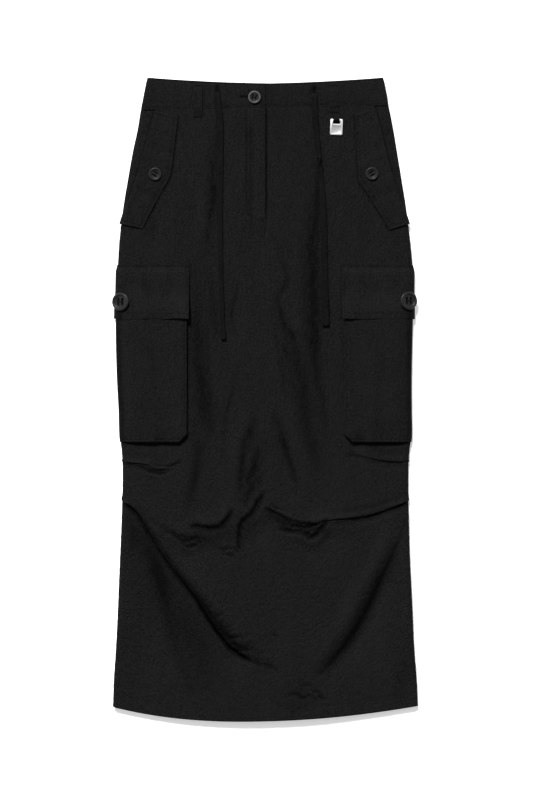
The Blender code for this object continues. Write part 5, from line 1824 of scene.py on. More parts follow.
@dataclass
class Waistband:
    """The waistband: right front with the lap end, left front with the underlap, and back."""

    form: SkirtForm
    wall: float = 0.0020
    gap: float = 0.00004
    seam_gap: float = 0.0006
    lap_tab: float = 0.034
    lap_rise: float = 0.0023
    pitch: float = 0.0019
    edge_line: float = 0.0024
    buttonhole: tuple[float, float, float] = (-0.0300, 0.0281, 0.0135)
    tie_slits: Rows = ((-0.0690, 0.0200), (0.0690, 0.0215))

    def row(self, share: Value, place: Array) -> Array:
        """A line along the band, from its top edge at share 0 to its seam at share 1."""
        low = self.form.band_seam(place) - self.gap / 2
        return between(self.form.waist_line(place), low, share)

    def shares(self) -> Array:
        """Lines across the band's width, with close ones at its edges and stitch lines."""
        width = self.form.band_bottom - 0.004
        fine = (0.0005, 0.0013, 0.0024, 0.0036)
        return graded(width, fine, fine, self.pitch) / width

    def over(self, u: Array) -> Array:
        """How far the right front band rises to lie over the underlap."""
        return self.lap_rise * (1.0 - smooth(np.abs(u), 0.037, 0.057)) * (u < 0)

    def relief(self, u: Array, down: Array) -> Array:
        """The band's surface: sunk stitch lines, puckers, the tie channel and slits."""
        sign = np.where(u < 0, -1, 1)
        seam = self.form.seam_reach(sign, 0.02)
        share = np.abs(u) / seam
        place = sign * np.where(share <= 1.0, share, 2.0 - share)
        top = down - self.form.waist_line(place)
        low = self.form.band_seam(place) - down
        lift = np.zeros(np.shape(u))
        for distance in (top - self.edge_line, low - self.edge_line):
            lift = lift - 0.00034 * bell(distance, 0.0010)
        middle = window(top, 0.008, 0.028, 0.006)
        lift = lift + 0.00032 * middle + 0.00022 * ripple(u, 0.0190, 0.6) * middle
        pucker = fall(low, 0.0060) + 0.5 * fall(top, 0.0060)
        lift = lift + 0.00020 * ripple(u, 0.0085, 1.4) * pucker
        for slit_u, slit_down in self.tie_slits:
            across, along = (u - slit_u) / 0.0030, (down - slit_down) / 0.0085
            lift = lift - 0.0011 * np.exp(-(across**2) - along**4)
            gather = np.exp(-(((u - slit_u) / 0.014) ** 2) - ((down - slit_down) / 0.013) ** 2)
            lift = lift + 0.00045 * gather * ripple(u + 0.3 * down, 0.0062, 2.0)
        hole_u, hole_down, hole_length = self.buttonhole
        across, along = (down - hole_down) / 0.0011, (u - hole_u) / (hole_length / 2)
        lift = lift - 0.0012 * np.exp(-(across**2) - along**6) * (u < 0)
        return lift

    def shade(self, u: Array, down: Array) -> Array:
        """Painted shade in the tie slits and the buttonhole."""
        hole_u, hole_down, length = self.buttonhole
        away = ((u - hole_u) / (0.55 * length)) ** 4 + ((down - hole_down) / 0.0019) ** 4
        dark = 1.2 * np.exp(-away) * (u < 0)
        for slit_u, slit_down in self.tie_slits:
            away = ((u - slit_u) / 0.0034) ** 2 + ((down - slit_down + 0.003) / 0.0062) ** 4
            dark = dark + 1.1 * np.exp(-away)
        return dark

    def front(self, side: Side, wardrobe: Wardrobe) -> None:
        """Builds one front half of the band with its stitches."""
        sign, form = side.sign, self.form
        seam = float(form.seam_reach(sign, 0.02)) - self.seam_gap / 2
        start = self.gap / 2 if side is Side.RIGHT else -self.lap_tab
        reach = start + graded(seam - start, (0.0006, 0.0016), (0.0006, 0.0016), self.pitch)
        place = sign * np.abs(reach) / seam
        down = self.row(self.shares()[:, None], place[None, :])
        edge = form.seam_reach(sign, down) - self.seam_gap / 2
        bend = (reach[None, :] / seam).clip(0.0, 1.0) ** 6
        u = sign * (reach[None, :] + (edge - seam) * bend)

        def height(u: Array, down: Array) -> Array:
            """Height of the band's outer face."""
            return self.relief(u, down) + (self.over(u) if side is Side.RIGHT else 0.0)

        laid = lay(form, u, down, height(u, down), 0.0007, self.shade(u, down))
        book, surface = StitchBook(), surface_of(form, height)
        first = start + 0.0022 if side is Side.RIGHT else 0.001
        shown = sign * np.linspace(first, seam - 0.001, 60)
        for level in self.edge_rows(shown / seam):
            book.row(surface, np.stack([shown, level], axis=-1))
        if side is Side.RIGHT:
            book.row(surface, [(-0.0024, 0.0120), (-0.0024, 0.0410)])
            self.buttonhole_stitches(book, surface)
        slit_u, slit_down = self.tie_slits[0 if side is Side.RIGHT else 1]
        for shift in (-0.0058, 0.0058):
            book.bar(surface, slit_u, slit_down - 0.0008 + 1.55 * shift, 0.0060, 0.0012, 8)
        sew(f"waistband_{side.label}", laid, self.wall, wardrobe, [f"front_{side.label}_cloth"],
            Hold.FOLDED, book)

    def edge_rows(self, place: Array) -> tuple[Array, Array]:
        """The downs of the stitches along the band's top edge and along its seam."""
        form = self.form
        return form.waist_line(place) + self.edge_line, form.band_seam(place) - self.edge_line

    def buttonhole_stitches(self, book: StitchBook, surface: Surface) -> None:
        """Close satin stitches along both lips of the buttonhole and a bar at each end."""
        hole_u, hole_down, length = self.buttonhole
        for lip in (-0.0012, 0.0012):
            book.bar(surface, hole_u, hole_down + lip, length, 0.0013, 26)
        for end in (-0.5, 0.5):
            book.bar(surface, hole_u + end * length, hole_down, 0.0012, 0.0040, 4)

    def half(self, sign: int) -> tuple[Array, Array]:
        """Places u and down of the back band from one side seam to the centre line."""
        place = np.concatenate([[1.0, 0.9968, 0.991], np.linspace(0.980, 0.0, 80)])
        down = self.row(self.shares()[:, None], sign * place[None, :])
        seam = self.form.seam_reach(sign, down)
        return sign * (seam * (2.0 - place) + self.seam_gap / 2 * (place > 0.98)), down

    def back(self, wardrobe: Wardrobe) -> None:
        """Builds the back of the band."""
        form = self.form
        u, down = mirrored(self.half)
        laid = lay(form, u, down, np.minimum(self.relief(u, down) - 0.0005, 0.0), roll=0.0005)
        book = StitchBook(pitch=0.0030)
        surface = surface_of(form, lambda u, down: np.full(np.shape(u), -0.0004))
        for sign in (1, -1):
            at = np.linspace(0.99, 0.01, 60)
            reach = float(form.seam_reach(sign, 0.02)) * (2.0 - at)
            high, low = self.edge_rows(sign * at)
            book.row(surface, np.stack([sign * reach, low], axis=-1))
            book.row(surface, np.stack([sign * reach, high], axis=-1))
        sew("waistband_back", laid, self.wall, wardrobe, ["back_cloth"], Hold.FOLDED, book)

    def build(self, wardrobe: Wardrobe) -> None:
        """Builds all three pieces of the band."""
        self.front(Side.LEFT, wardrobe)
        self.front(Side.RIGHT, wardrobe)
        self.back(wardrobe)


# --- Hip pockets ---


@dataclass
class HipPocket(SidePiece):
    """A slanted hip pocket: the facing outboard of its mouth and the long flap over it."""

    flap_rows: Rows
    wall: float = 0.0012
    gap: float = 0.0003
    seam_gap: float = 0.0006
    rest: float = 0.0007
    facing_end: float = 0.2085
    stitch_in: float = 0.0042

    def build_facing(self, wardrobe: Wardrobe) -> None:
        """Builds the facing, a little below the mouth's edge, with painted shade along its inner
        edge.
        """
        sign, form = self.sign, self.form
        share = np.concatenate([[0.0, 0.03], np.linspace(0.08, 0.97, 14), [1.0]])
        place = sign * between(0.87, 1.0, share)
        top = form.band_seam(place) + self.gap / 2
        end = self.facing_end + 0.0018 * share
        level = np.linspace(0.0, 1.0, 84)[:, None]
        down = between(top, end, level)
        seam = form.seam_reach(sign, down)
        inner = seam - form.mouth_inboard(down) + self.seam_gap / 2
        u = sign * between(inner, seam - self.seam_gap / 2, share)
        lift = -0.0014 + 0.0003 * ripple(down, 0.030, 1.0) * window(share, 0.2, 0.8, 0.2)
        # Painted shade darkens the facing along the pocket mouth
        deep = 1.1 * bell(np.abs(u) - inner, 0.0026)
        laid = lay(form, u, down, lift, shade=deep)
        sew(f"hip_facing_{self.label}", laid, 0.0007, wardrobe,
            self.on_front, Hold.LAID)

    def over(self, outer_down: Array) -> Array:
        """How far the flap's sewn edge passes the pocket mouth."""
        return 0.0012 + 0.0024 * smooth(outer_down, 0.170, 0.2085)

    def across_flap(self, outer_down: Array, share: Array) -> tuple[Array, Array]:
        """Reach and down of places on the flap.

        Args:
            outer_down: Which line across the flap, by its outer end.
            share: 0 at the free inner edge and 1 at the sewn outer edge.

        Returns:
            The reach and the down.
        """
        outer = self.form.seam_reach(self.sign, outer_down) - self.form.mouth_inboard(outer_down)
        outer = outer + self.over(outer_down)
        inner_down = straight(self.flap_rows, outer_down, 1)
        inner = straight(self.flap_rows, outer_down, 2)
        return between(inner, outer, share), between(inner_down, outer_down, share)

    def flap_lift(self, outer_down: Array, share: Array) -> Array:
        """Height of the flap's outer face: sunk stitch lines, puckers and a free wavy edge."""
        reach, _ = self.across_flap(outer_down, share)
        outer, _ = self.across_flap(outer_down, np.ones(np.shape(share)))
        inner, _ = self.across_flap(outer_down, np.zeros(np.shape(share)))
        base = self.rest * (1.0 + smooth(reach, outer - 0.0110, outer)) + self.wall
        free = reach - inner
        ends = np.minimum(outer_down - self.flap_rows[0][0], self.flap_rows[-1][0] - outer_down)
        groove = bell(free - self.stitch_in, 0.0011)
        groove = groove + bell(ends - self.stitch_in, 0.0011)
        wave = 0.00055 * ripple(outer_down, 0.060, 1.9) * fall(free, 0.010)
        body = 0.0005 * window(free, 0.010, 0.030, 0.008) + 0.00030 * ripple(outer_down, 0.034, 0.7)
        pucker = 0.00016 * ripple(outer_down, 0.0080, 2.6) * bell(free - 0.0042, 0.004)
        return base - 0.00036 * np.minimum(groove, 1.0) + wave + body + pucker

    def flap_surface(self, outer_down: Array, share: Array) -> tuple[Array, Array]:
        """Points and normals of the flap's outer face."""
        reach, down = self.across_flap(outer_down, share)
        base = self.form.frame(self.sign * reach, down)
        return base.point + base.normal * self.flap_lift(outer_down, share)[..., None], base.normal

    def build_flap(self, wardrobe: Wardrobe) -> None:
        """Builds the flap and its stitches."""
        first, last = self.flap_rows[0][0], self.flap_rows[-1][0]
        fine = (0.0005, 0.0013, 0.0030, 0.0042, 0.0054)
        level = first + graded(last - first, fine, fine, 0.0016)
        share = graded(0.050, fine, fine, 0.0015) / 0.050
        rows, shares = np.meshgrid(level, share, indexing="ij")
        reach, down = self.across_flap(rows, shares)
        laid = lay(self.form, self.sign * reach, down, self.flap_lift(rows, shares), roll=0.0005)
        book = StitchBook()
        lines = np.linspace(first + self.stitch_in, last - self.stitch_in, 50)
        width = 0.048
        book.row(self.flap_surface, np.stack([lines, np.full(50, self.stitch_in / width)], axis=-1))
        for level in (first + self.stitch_in, last - self.stitch_in):
            self.cross_stitches(book, level, width)
        sew(f"hip_flap_{self.label}", laid, self.wall, wardrobe,
            self.on_front, Hold.FOLDED, book)

    def cross_stitches(self, book: StitchBook, level: float, width: float) -> None:
        """A row of stitches across the flap, spaced by its real width."""
        count = int((width - 2 * self.stitch_in) / book.pitch)
        inset = self.stitch_in / width
        share = (np.arange(count) + 0.5) / count * (1.0 - inset) + inset
        half = book.length / 2 / width
        at = np.full(count, level)
        start, normal = self.flap_surface(at, share - half)
        end, _ = self.flap_surface(at, share + half)
        book.centres.append(np.stack([start, end, normal], axis=1))

    def build(self, wardrobe: Wardrobe) -> None:
        """Builds the facing and the flap."""
        self.build_facing(wardrobe)
        self.build_flap(wardrobe)


# --- Cargo pockets ---


@dataclass
class CargoPocket(SidePiece):
    """A bellows pocket wrapped round the side fold: face, gusset and flap."""

    wall: float = 0.0012
    gap: float = 0.0003
    lay_gap: float = 0.0004
    inner: float = 0.1120
    top: float = 0.2760
    bottom: float = 0.5180
    corner: float = 0.0110
    depth: float = 0.0060
    flap_inner: float = 0.1085
    flap_top: float = 0.2665
    flap_bottom: float = 0.3435
    flap_flare: float = 0.0015
    gusset_spread: float = 0.0040
    stitch_in: float = 0.0030
    pitch: float = 0.0022

    def rest(self, reach: Array, down: Array) -> Array:
        """Clear depth under the face: full in front and pressed flat at the side."""
        rise = 0.03 + 0.97 * smooth(down, 0.290, self.flap_bottom)
        flat = self.form.flat_reach(self.sign, down)
        side = 1.0 - smooth(reach, flat - 0.016, flat + self.form.fold_arc / 2)
        return self.lay_gap + self.depth * rise * side

    def flap_rest(self, reach: Array, down: Array) -> Array:
        """Clear depth under the flap, which lies on the face and flares at the fold."""
        flat = self.form.flat_reach(self.sign, down)
        turn = np.clip((reach - flat) / self.form.fold_arc, 0.0, 1.0)
        flare = self.flap_flare * smooth(down, 0.300, self.flap_bottom)
        flare = flare * smooth(turn, 0.0, 0.5) * (1.0 - smooth(turn, 0.5, 0.9))
        under = self.rest(reach, np.maximum(down, self.top)) + self.wall
        return self.lay_gap + smooth(down, self.top - 0.008, self.top) * under + flare

    def inner_at(self, down: Array) -> Array:
        """The face's inner edge, cut off at the lower corner."""
        return self.inner + np.maximum(0.0, down - (self.bottom - self.corner))

    def grid(self, inner: Array, levels: Array) -> tuple[Array, Array]:
        """Reach and down of a piece that wraps the side fold as far behind as in front."""
        inner, down = inner[:, None], levels[:, None]
        seam = self.form.seam_reach(self.sign, down)
        share = graded(0.190, EDGE_STATIONS, EDGE_STATIONS, self.pitch) / 0.190
        reach = between(inner, 2 * seam - inner, share)
        return reach, down + 0.0 * reach

    def face_lift(self, u: Array, down: Array) -> Array:
        """Height of the face: a soft crown, stitched edges, a hem and a few low folds."""
        reach = np.abs(u)
        sign = self.sign
        seam = self.form.seam_reach(sign, down)
        rest = self.rest(reach, down) + self.wall
        edge = np.minimum(reach - self.inner_at(down), (2 * seam - self.inner_at(down)) - reach)
        low = self.bottom - down
        front = 1.0 - smooth(reach, seam - 0.016, seam + 0.002)
        crown = 0.0010 * smooth(np.minimum(edge, low), 0.0, 0.035) * front
        groove = 0.00034 * bell(edge - self.stitch_in, 0.0012)
        groove = groove + 0.00034 * bell(low - self.stitch_in, 0.0012)
        pucker = 0.00020 * ripple(down, 0.0100, 1.1) * bell(edge - 0.003, 0.005)
        pucker = pucker + 0.00022 * ripple(reach, 0.0115, 2.1) * bell(low - 0.003, 0.005)
        sway = 0.00034 * ripple(reach + 0.12 * down, 0.044, 1.0 + sign) + 0.00028 * ripple(
            down + 0.2 * reach, 0.071, 2.0 - sign)
        sag = 0.0008 * bell(low, 0.012) * ripple(reach, 0.050, 0.3 + sign) * front
        inner = smooth(edge, 0.0, 0.02)
        return rest + crown - groove + pucker + (sway - 0.0002) * inner * front + sag

    def build_face(self, wardrobe: Wardrobe) -> None:
        """Builds the face and its stitches."""
        sign = self.sign
        cut = self.bottom - self.corner
        levels = np.concatenate([
            self.top + graded(cut - self.top, EDGE_STATIONS[:2], (), self.pitch),
            cut + graded(self.corner, (), EDGE_STATIONS, self.pitch)[1:],
        ])
        reach, down = self.grid(self.inner_at(levels), levels)
        laid = lay(self.form, sign * reach, down, self.face_lift(sign * reach, down), roll=0.0006)
        book = StitchBook()
        surface = surface_of(self.form, self.face_lift)
        edge, low = self.inner + self.stitch_in, self.bottom - self.stitch_in
        bend, seam = edge + self.corner - 0.002, float(self.form.seam_reach(sign, low))
        back = 2 * seam - edge
        for start, end in (((edge, 0.3450), (edge, cut)), ((edge, cut), (bend, low)),
                           ((bend, low), (seam + 0.060, low)),
                           ((back, 0.3450), (back, low - 0.001))):
            book.row(surface, [(sign * start[0], start[1]), (sign * end[0], end[1])])
        sew(f"cargo_pocket_{self.label}", laid, self.wall, wardrobe,
            [f"cargo_gusset_{self.label}_cloth"], Hold.FOLDED, book)

    def gusset_path(self) -> Array:
        """The gusset's run under the face's edge: reach, down, spread inwards, spread down."""
        inset = self.wall / 2 + self.gap
        inner, low = self.inner + inset, self.bottom - inset
        flat = float(self.form.flat_reach(self.sign, low))
        full = self.gusset_spread
        run = [(inner, down, spread, 0.0) for down, spread in (
            (0.312, 0.0006), (0.3435, 0.0008), (0.400, 0.0010), (0.450, 0.0016), (0.485, 0.0030))]
        run.append((inner, low - self.corner, full, 0.3 * full))
        run.append((inner + self.corner, low, 0.3 * full, 0.8 * full))
        run += [(reach, low, 0.0, spread) for reach, spread in (
            (0.135, 0.0030), (0.165, 0.0028), (flat - 0.016, 0.0024), (flat - 0.008, 0.0018))]
        return np.array(run)

    def build_gusset(self, wardrobe: Wardrobe) -> None:
        """Builds the gusset, pinched in along its middle like a bellows."""
        path = self.gusset_path()
        dense = []
        for a, b in zip(path[:-1], path[1:]):
            steps = max(2, round(float(np.hypot(*(b - a)[:2])) / 0.0026))
            dense += [a + (b - a) * t for t in np.linspace(0.0, 1.0, steps, endpoint=False)]
        path = np.array([*dense, path[-1]])
        reach, down, inwards, below = path.T
        top = self.rest(reach, down) - 2 * self.gap
        sign = self.sign
        along = np.concatenate([[0.0], np.cumsum(np.hypot(np.diff(reach), np.diff(down)))])
        run_r, run_d = np.gradient(reach), np.gradient(down)
        length = np.hypot(run_r, run_d)
        in_r, in_d = run_d / length, -run_r / length
        rows, us, downs = [], [], []
        for share in np.linspace(0.0, 1.0, 9):
            foot = 1.0 - share
            pinch = 0.0016 * math.sin(math.pi * share) * (1.0 + 0.3 * ripple(along, 0.028, 1.0))
            pinch = pinch * smooth(top, 0.001, 0.004)
            place_r = reach - foot * inwards + pinch * in_r
            place_d = down + foot * below + pinch * in_d
            base = self.form.frame(sign * place_r, place_d)
            rows.append(base.point + base.normal * between(2 * self.gap, top, share)[:, None])
            us.append(sign * place_r)
            downs.append(place_d + share * 0.006)
        outer = np.array(rows)
        normal = grid_normals(outer)
        facing_out = np.stack([-sign * in_r, in_d, 0.0 * in_r], axis=-1)
        normal *= np.sign(np.sum(normal * facing_out[None]))
        laid = Laid(outer, normal, np.array(us), np.array(downs))
        sew(f"cargo_gusset_{self.label}", laid, 0.0007, wardrobe,
            self.on_front, Hold.FOLDED)

    def flap_lift(self, u: Array, down: Array) -> Array:
        """Height of the flap: stitched edges, puckers and a free lower edge that lifts a little."""
        reach, sign = np.abs(u), self.sign
        seam = self.form.seam_reach(sign, down)
        rest = self.flap_rest(reach, down) + self.wall
        edge = np.minimum(reach - self.flap_inner, 2 * seam - self.flap_inner - reach)
        low, top = self.flap_bottom - down, down - self.flap_top
        front = 1.0 - smooth(reach, seam - 0.020, seam - 0.002)
        groove = np.zeros(np.shape(reach))
        for distance in (edge - self.stitch_in, low - self.stitch_in, low - 0.0072, top - 0.0016,
                         top - 0.0078):
            groove = groove + bell(distance, 0.0011)
        inner_corner = bell(reach - self.flap_inner, 0.030)
        free = fall(low, 0.022) * front
        curl = (0.0030 * inner_corner + 0.00055 * ripple(reach, 0.052, 0.8 + sign)) * free
        ends = bell(low - 0.004, 0.005) + bell(top - 0.005, 0.005)
        pucker = 0.00020 * ripple(reach, 0.0095, 1.1) * ends
        body = 0.0005 * window(edge, 0.02, 0.08, 0.02) * window(top, 0.02, 0.06, 0.015) * front
        sway = 0.00030 * ripple(reach + 0.3 * down, 0.037, 1.9 * sign) * front
        return rest - 0.00034 * np.minimum(groove, 1.0) + curl + pucker + body + sway

    def build_flap(self, wardrobe: Wardrobe) -> None:
        """Builds the flap and its stitches."""
        sign = self.sign
        span = self.flap_bottom - self.flap_top
        levels = self.flap_top + graded(
            span, (0.0005, 0.0010, 0.0016, 0.0024, 0.0050, 0.0068, 0.0078, 0.0088),
            (*EDGE_STATIONS, 0.0062, 0.0072, 0.0082), 0.0020)
        reach, down = self.grid(np.full(levels.shape, self.flap_inner), levels)
        lift = self.flap_lift(sign * reach, down)
        wave = 0.0006 * ripple(reach, 0.047, 2.2 + sign) * smooth(down, 0.33, self.flap_bottom)
        laid = lay(self.form, sign * reach, down + wave, lift, roll=0.0006)
        book = StitchBook()
        surface = surface_of(self.form, self.flap_lift)
        edge = self.flap_inner + self.stitch_in
        far = 2 * float(self.form.seam_reach(sign, 0.31)) - edge
        for down_at in (self.flap_top + 0.0016, self.flap_top + 0.0078,
                        self.flap_bottom - self.stitch_in, self.flap_bottom - 0.0072):
            start = edge if down_at > 0.30 else self.flap_inner + 0.001
            book.row(surface, [(sign * start, down_at), (sign * (far + edge - start), down_at)])
        for reach_at in (edge, far):
            book.row(surface, [(sign * reach_at, self.flap_top + 0.008),
                               (sign * reach_at, self.flap_bottom - self.stitch_in)])
        sew(f"cargo_flap_{self.label}", laid, self.wall, wardrobe,
            [f"cargo_pocket_{self.label}_cloth"], Hold.FOLDED, book)

    def build(self, wardrobe: Wardrobe) -> None:
        """Builds the gusset, the face and the flap."""
        self.build_gusset(wardrobe)
        self.build_face(wardrobe)
        self.build_flap(wardrobe)


# --- Belt loops ---


@dataclass
class BeltLoop:
    """A belt loop, sewn down at both ends and arched clear of the waistband between."""

    label: str
    form: SkirtForm
    centre: float
    end: float
    behind: bool = False
    width: float = 0.0130
    arch: float = 0.0010
    top: float = 0.0095
    wall: float = 0.0014
    gap: float = 0.0003

    @property
    def middle(self) -> float:
        """Where round the tube the loop's middle is."""
        return 2 * float(self.form.seam_reach(1, 0.03)) if self.behind else self.centre

    def lift(self, u: Array, down: Array) -> Array:
        """Height of the loop's outer face."""
        off = np.abs(u - self.middle)
        low, high = self.top + 0.004, self.end - 0.004
        arch = smooth(down, low, low + 0.006) * (1.0 - smooth(down, high - 0.006, high))
        height = self.gap + self.wall + (0.0 if self.behind else self.arch) * arch
        line = bell(off - self.width / 2 + 0.0022, 0.0009)
        belly = 0.00035 * (1.0 - (2 * off / self.width) ** 2) * arch
        fold = 0.00035 * bell(off, 0.0009)
        return height - 0.00028 * line + (belly - fold * (not self.behind))

    def build(self, wardrobe: Wardrobe) -> None:
        """Builds the loop and its stitches."""
        fine = (0.0004, 0.0012, 0.0022, 0.0032)
        offsets = graded(self.width, fine, fine, 0.0010) - self.width / 2
        levels = self.top + graded(self.end - self.top, (0.0005, 0.0014), (0.0005, 0.0014), 0.0011)
        down, shift = np.meshgrid(levels, offsets, indexing="ij")
        u = 2 * self.form.seam_reach(1, down) - shift if self.behind else self.centre + shift
        laid = lay(self.form, u, down, self.lift(self.middle + shift, down), 0.0004, -1.0)
        book = StitchBook()
        surface = surface_of(self.form, self.lift)
        if not self.behind:
            for shift_at in (-self.width / 2 + 0.0022, self.width / 2 - 0.0022):
                book.row(surface, [(self.centre + shift_at, self.top + 0.001),
                                   (self.centre + shift_at, self.end - 0.001)])
        for level in (self.top + 0.0022, self.end - 0.0022):
            middle = 2 * float(self.form.seam_reach(1, level)) if self.behind else self.centre
            book.bar(surface, middle, level, self.width - 0.0024, 0.0020, 18)
        sew(f"belt_loop_{self.label}", laid, self.wall, wardrobe, [f"waistband_{self.label}_cloth"],
            Hold.FOLDED, book)


# --- Drawcord ties ---


RIGHT_TIE_ROWS = places(3, 215, -690, 85, 600, -655, 100, 1400, -655, 100, 2000, -650, 80, 2800,
    -635, 66, 3718, -600, 60)

LEFT_TIE_ROWS = places(3, 230, 690, 85, 600, 705, 90, 1190, 765, 60, 1900, 815, 94, 2800, 838, 90,
    3520, 850, 90)


@dataclass
class DrawTie(SidePiece):
    """A flat drawcord tie of the skirt's own cloth, with its end folded back and sewn.

    Each row has the tie's down, its across and its width there. A twist is a down where the tie
    turns over once.
    """

    rows: Rows
    end_length: float
    end_width: float
    twists: tuple[float, ...] = ()
    wall: float = 0.0014
    rest: float = 0.0009
    gap: float = 0.0003
    points: int = 150

    def centre(self, down: Array) -> tuple[Array, Array]:
        """Points along the tie's middle and the outward normals there."""
        across = read(self.rows, down, 1)
        base = self.form.frame(across, down)
        top = self.rows[0][0]
        dip = 1.0 - smooth(down, top, top + 0.0045)
        wave = 0.0005 * (1.0 + ripple(down, 0.060, 1.0 + self.sign)) * smooth(
            down, top + 0.004, top + 0.02)
        up = self.rest + self.wall / 2 - 0.0012 * dip + wave + 0.0021 * self.turning(down)
        return base.point + base.normal * up[..., None], base.normal

    def turning(self, down: Array) -> Array:
        """1 in the middle of a twist and 0 away from it."""
        return sum((bell(down - at, 0.0050) for at in self.twists),
                   np.zeros(np.shape(down)))

    def roll(self, down: Array) -> Array:
        """Angle that the tie has turned about its own middle."""
        lean = 0.12 * ripple(down, 0.090, 2.0 * self.sign)
        return lean + sum((math.pi * smooth(down, at - 0.009, at + 0.009) for at in self.twists),
                          np.zeros(np.shape(down)))

    def ribbon(self, down: Array, width: Array, lift: float, thickness: float) -> Array:
        """Rings of points round the tie.

        Args:
            down: Where each ring is.
            width: The width of each ring.
            lift: Height of the ring's middle above the tie's own middle.
            thickness: The thickness of each ring.

        Returns:
            The rings, with the points of a ring in their second place.
        """
        middle, normal = self.centre(down)
        run = unit(np.gradient(middle, axis=0))
        across = unit(np.cross(run, normal)) * -1.0
        out = unit(np.cross(run, across))
        out *= np.sign(np.sum(out * normal))
        roll = self.roll(down)[:, None]
        wide = across * np.cos(roll) + out * np.sin(roll)
        deep = out * np.cos(roll) - across * np.sin(roll)
        narrow = 1.0 - 0.42 * self.turning(down)
        return np.stack([
            middle + wide * (x * width * narrow / 2)[:, None] + deep * (z * thickness / 2)
            + normal * lift for x, z in TIE_SECTION], axis=1)

    def closed(self, name: str, rings: Array, down: Array, material: Material) -> Object:
        """A closed tube through rings of points."""
        count, around = rings.shape[:2]
        index = np.arange(count * around).reshape(count, around)
        faces = [ring_faces(index), np.array([index[0, ::-1], index[-1]])]
        made = add_mesh(name, rings.reshape(-1, 3), faces, [material], sharp=80.0)
        place, level = np.meshgrid(np.linspace(0.0, 0.02, around), down)
        cloth = np.stack([place, level, np.zeros(place.shape)], axis=-1)
        write_attribute(made, "cloth", cloth.reshape(-1, 3))
        edge = np.zeros((count, around))
        edge[:, [0, 1, 7, 8, 9, 15]] = 0.8
        write_attribute(made, "edge", edge.ravel())
        if signed_volume(made) < 0:
            made.data.flip_normals()
        return made

    def stitches(self, wardrobe: Wardrobe) -> Object:
        """The stitching that holds the folded end, a short box of rows."""
        last = self.rows[-1][0]
        top = self.rest + 2 * self.wall + self.gap

        def surface(u: Array, down: Array) -> tuple[Array, Array]:
            """Points and normals on top of the folded end."""
            base = self.form.frame(read(self.rows, down, 1) + u, down)
            return base.point + base.normal * (top + 0.0004), base.normal

        book = StitchBook(pitch=0.0024, length=0.0018)
        half = self.end_width / 2 - 0.0016
        start, end = last - self.end_length + 0.0016, last - 0.0016
        for shift in (-half, half):
            book.row(surface, [(shift, start), (shift, end)])
        for level in (start, end, min(start + 0.008, end)):
            book.row(surface, [(-half, level), (half, level)])
        return book.build(f"drawcord_end_{self.label}_stitches", wardrobe.thread)

    def build(self, wardrobe: Wardrobe) -> None:
        first, last = self.rows[0][0], self.rows[-1][0]
        down = np.linspace(first, last, self.points)
        label = self.label
        rings = self.ribbon(down, read(self.rows, down, 2), 0.0, self.wall)
        tie = self.closed(f"drawcord_{label}_cloth", rings, down, wardrobe.tie)
        put_on(tie, Slot.TIE, [f"drawcord_{label}"])
        level = np.linspace(last - self.end_length, last + 0.0008, 24)
        width = self.end_width * (1.0 - 0.25 * smooth(level, last - 0.001, last + 0.0008))
        over = self.ribbon(np.minimum(level, last), width, self.wall + self.gap, self.wall)
        over[:, :, 1] -= np.maximum(level - last, 0.0)[:, None]
        end = self.closed(f"drawcord_end_{label}_cloth", over, level, wardrobe.tie)
        put_on(end, Slot.TIE, [f"drawcord_end_{label}"])
        stitches = put_on(self.stitches(wardrobe), Slot.TIE)
        path, _ = self.centre(np.linspace(first, last, 40))
        length = float(np.linalg.norm(np.diff(path, axis=0), axis=-1).sum())
        mean = float(np.mean(read(self.rows, down, 2)))
        tuple(path[0])
        [tuple(p) for p in path]
        log.info("%s: %.3f m long, %.4f m wide", tie.name, length, mean)


TIE_SECTION = (
    (-1.0, 0.0), (-0.94, 0.7), (-0.80, 1.0), (-0.4, 0.93), (0.0, 0.88), (0.4, 0.93), (0.80, 1.0),
    (0.94, 0.7), (1.0, 0.0), (0.94, -0.7), (0.80, -1.0), (0.4, -0.96), (0.0, -0.92), (-0.4, -0.96),
    (-0.80, -1.0), (-0.94, -0.7),
)


def signed_volume(piece: Object) -> float:
    """The volume inside a closed mesh, negative where its faces look inwards."""
    piece.data.calc_loop_triangles()
    points = np.array([v.co for v in piece.data.vertices], float)
    triangles = np.array([t.vertices for t in piece.data.loop_triangles])
    a, b, c = (points[triangles[:, k]] for k in range(3))
    return float(np.sum(a * np.cross(b, c)) / 6)


# --- Buttons ---


# Shares of the radius and of the height, from the middle of the underside to the middle of the top
BUTTON_PROFILE = (
    (0.0, 0.0), (0.55, 0.0), (0.80, 0.02), (0.90, 0.10), (0.965, 0.26), (0.995, 0.46), (1.0, 0.56),
    (0.985, 0.72), (0.950, 0.86), (0.900, 0.96), (0.850, 1.00), (0.790, 0.99), (0.730, 0.94),
    (0.685, 0.84), (0.655, 0.72), (0.625, 0.64), (0.580, 0.61), (0.30, 0.60), (0.0, 0.60),
)
# Shares of the diameter and of the height along a strand of thread
THREAD_ARC = (
    (-0.112, 0.20), (-0.104, 0.46), (-0.084, 0.64), (-0.045, 0.69), (0.0, 0.70), (0.045, 0.69),
    (0.084, 0.64), (0.104, 0.46), (0.112, 0.20),
)
THREAD_SIDES = 8


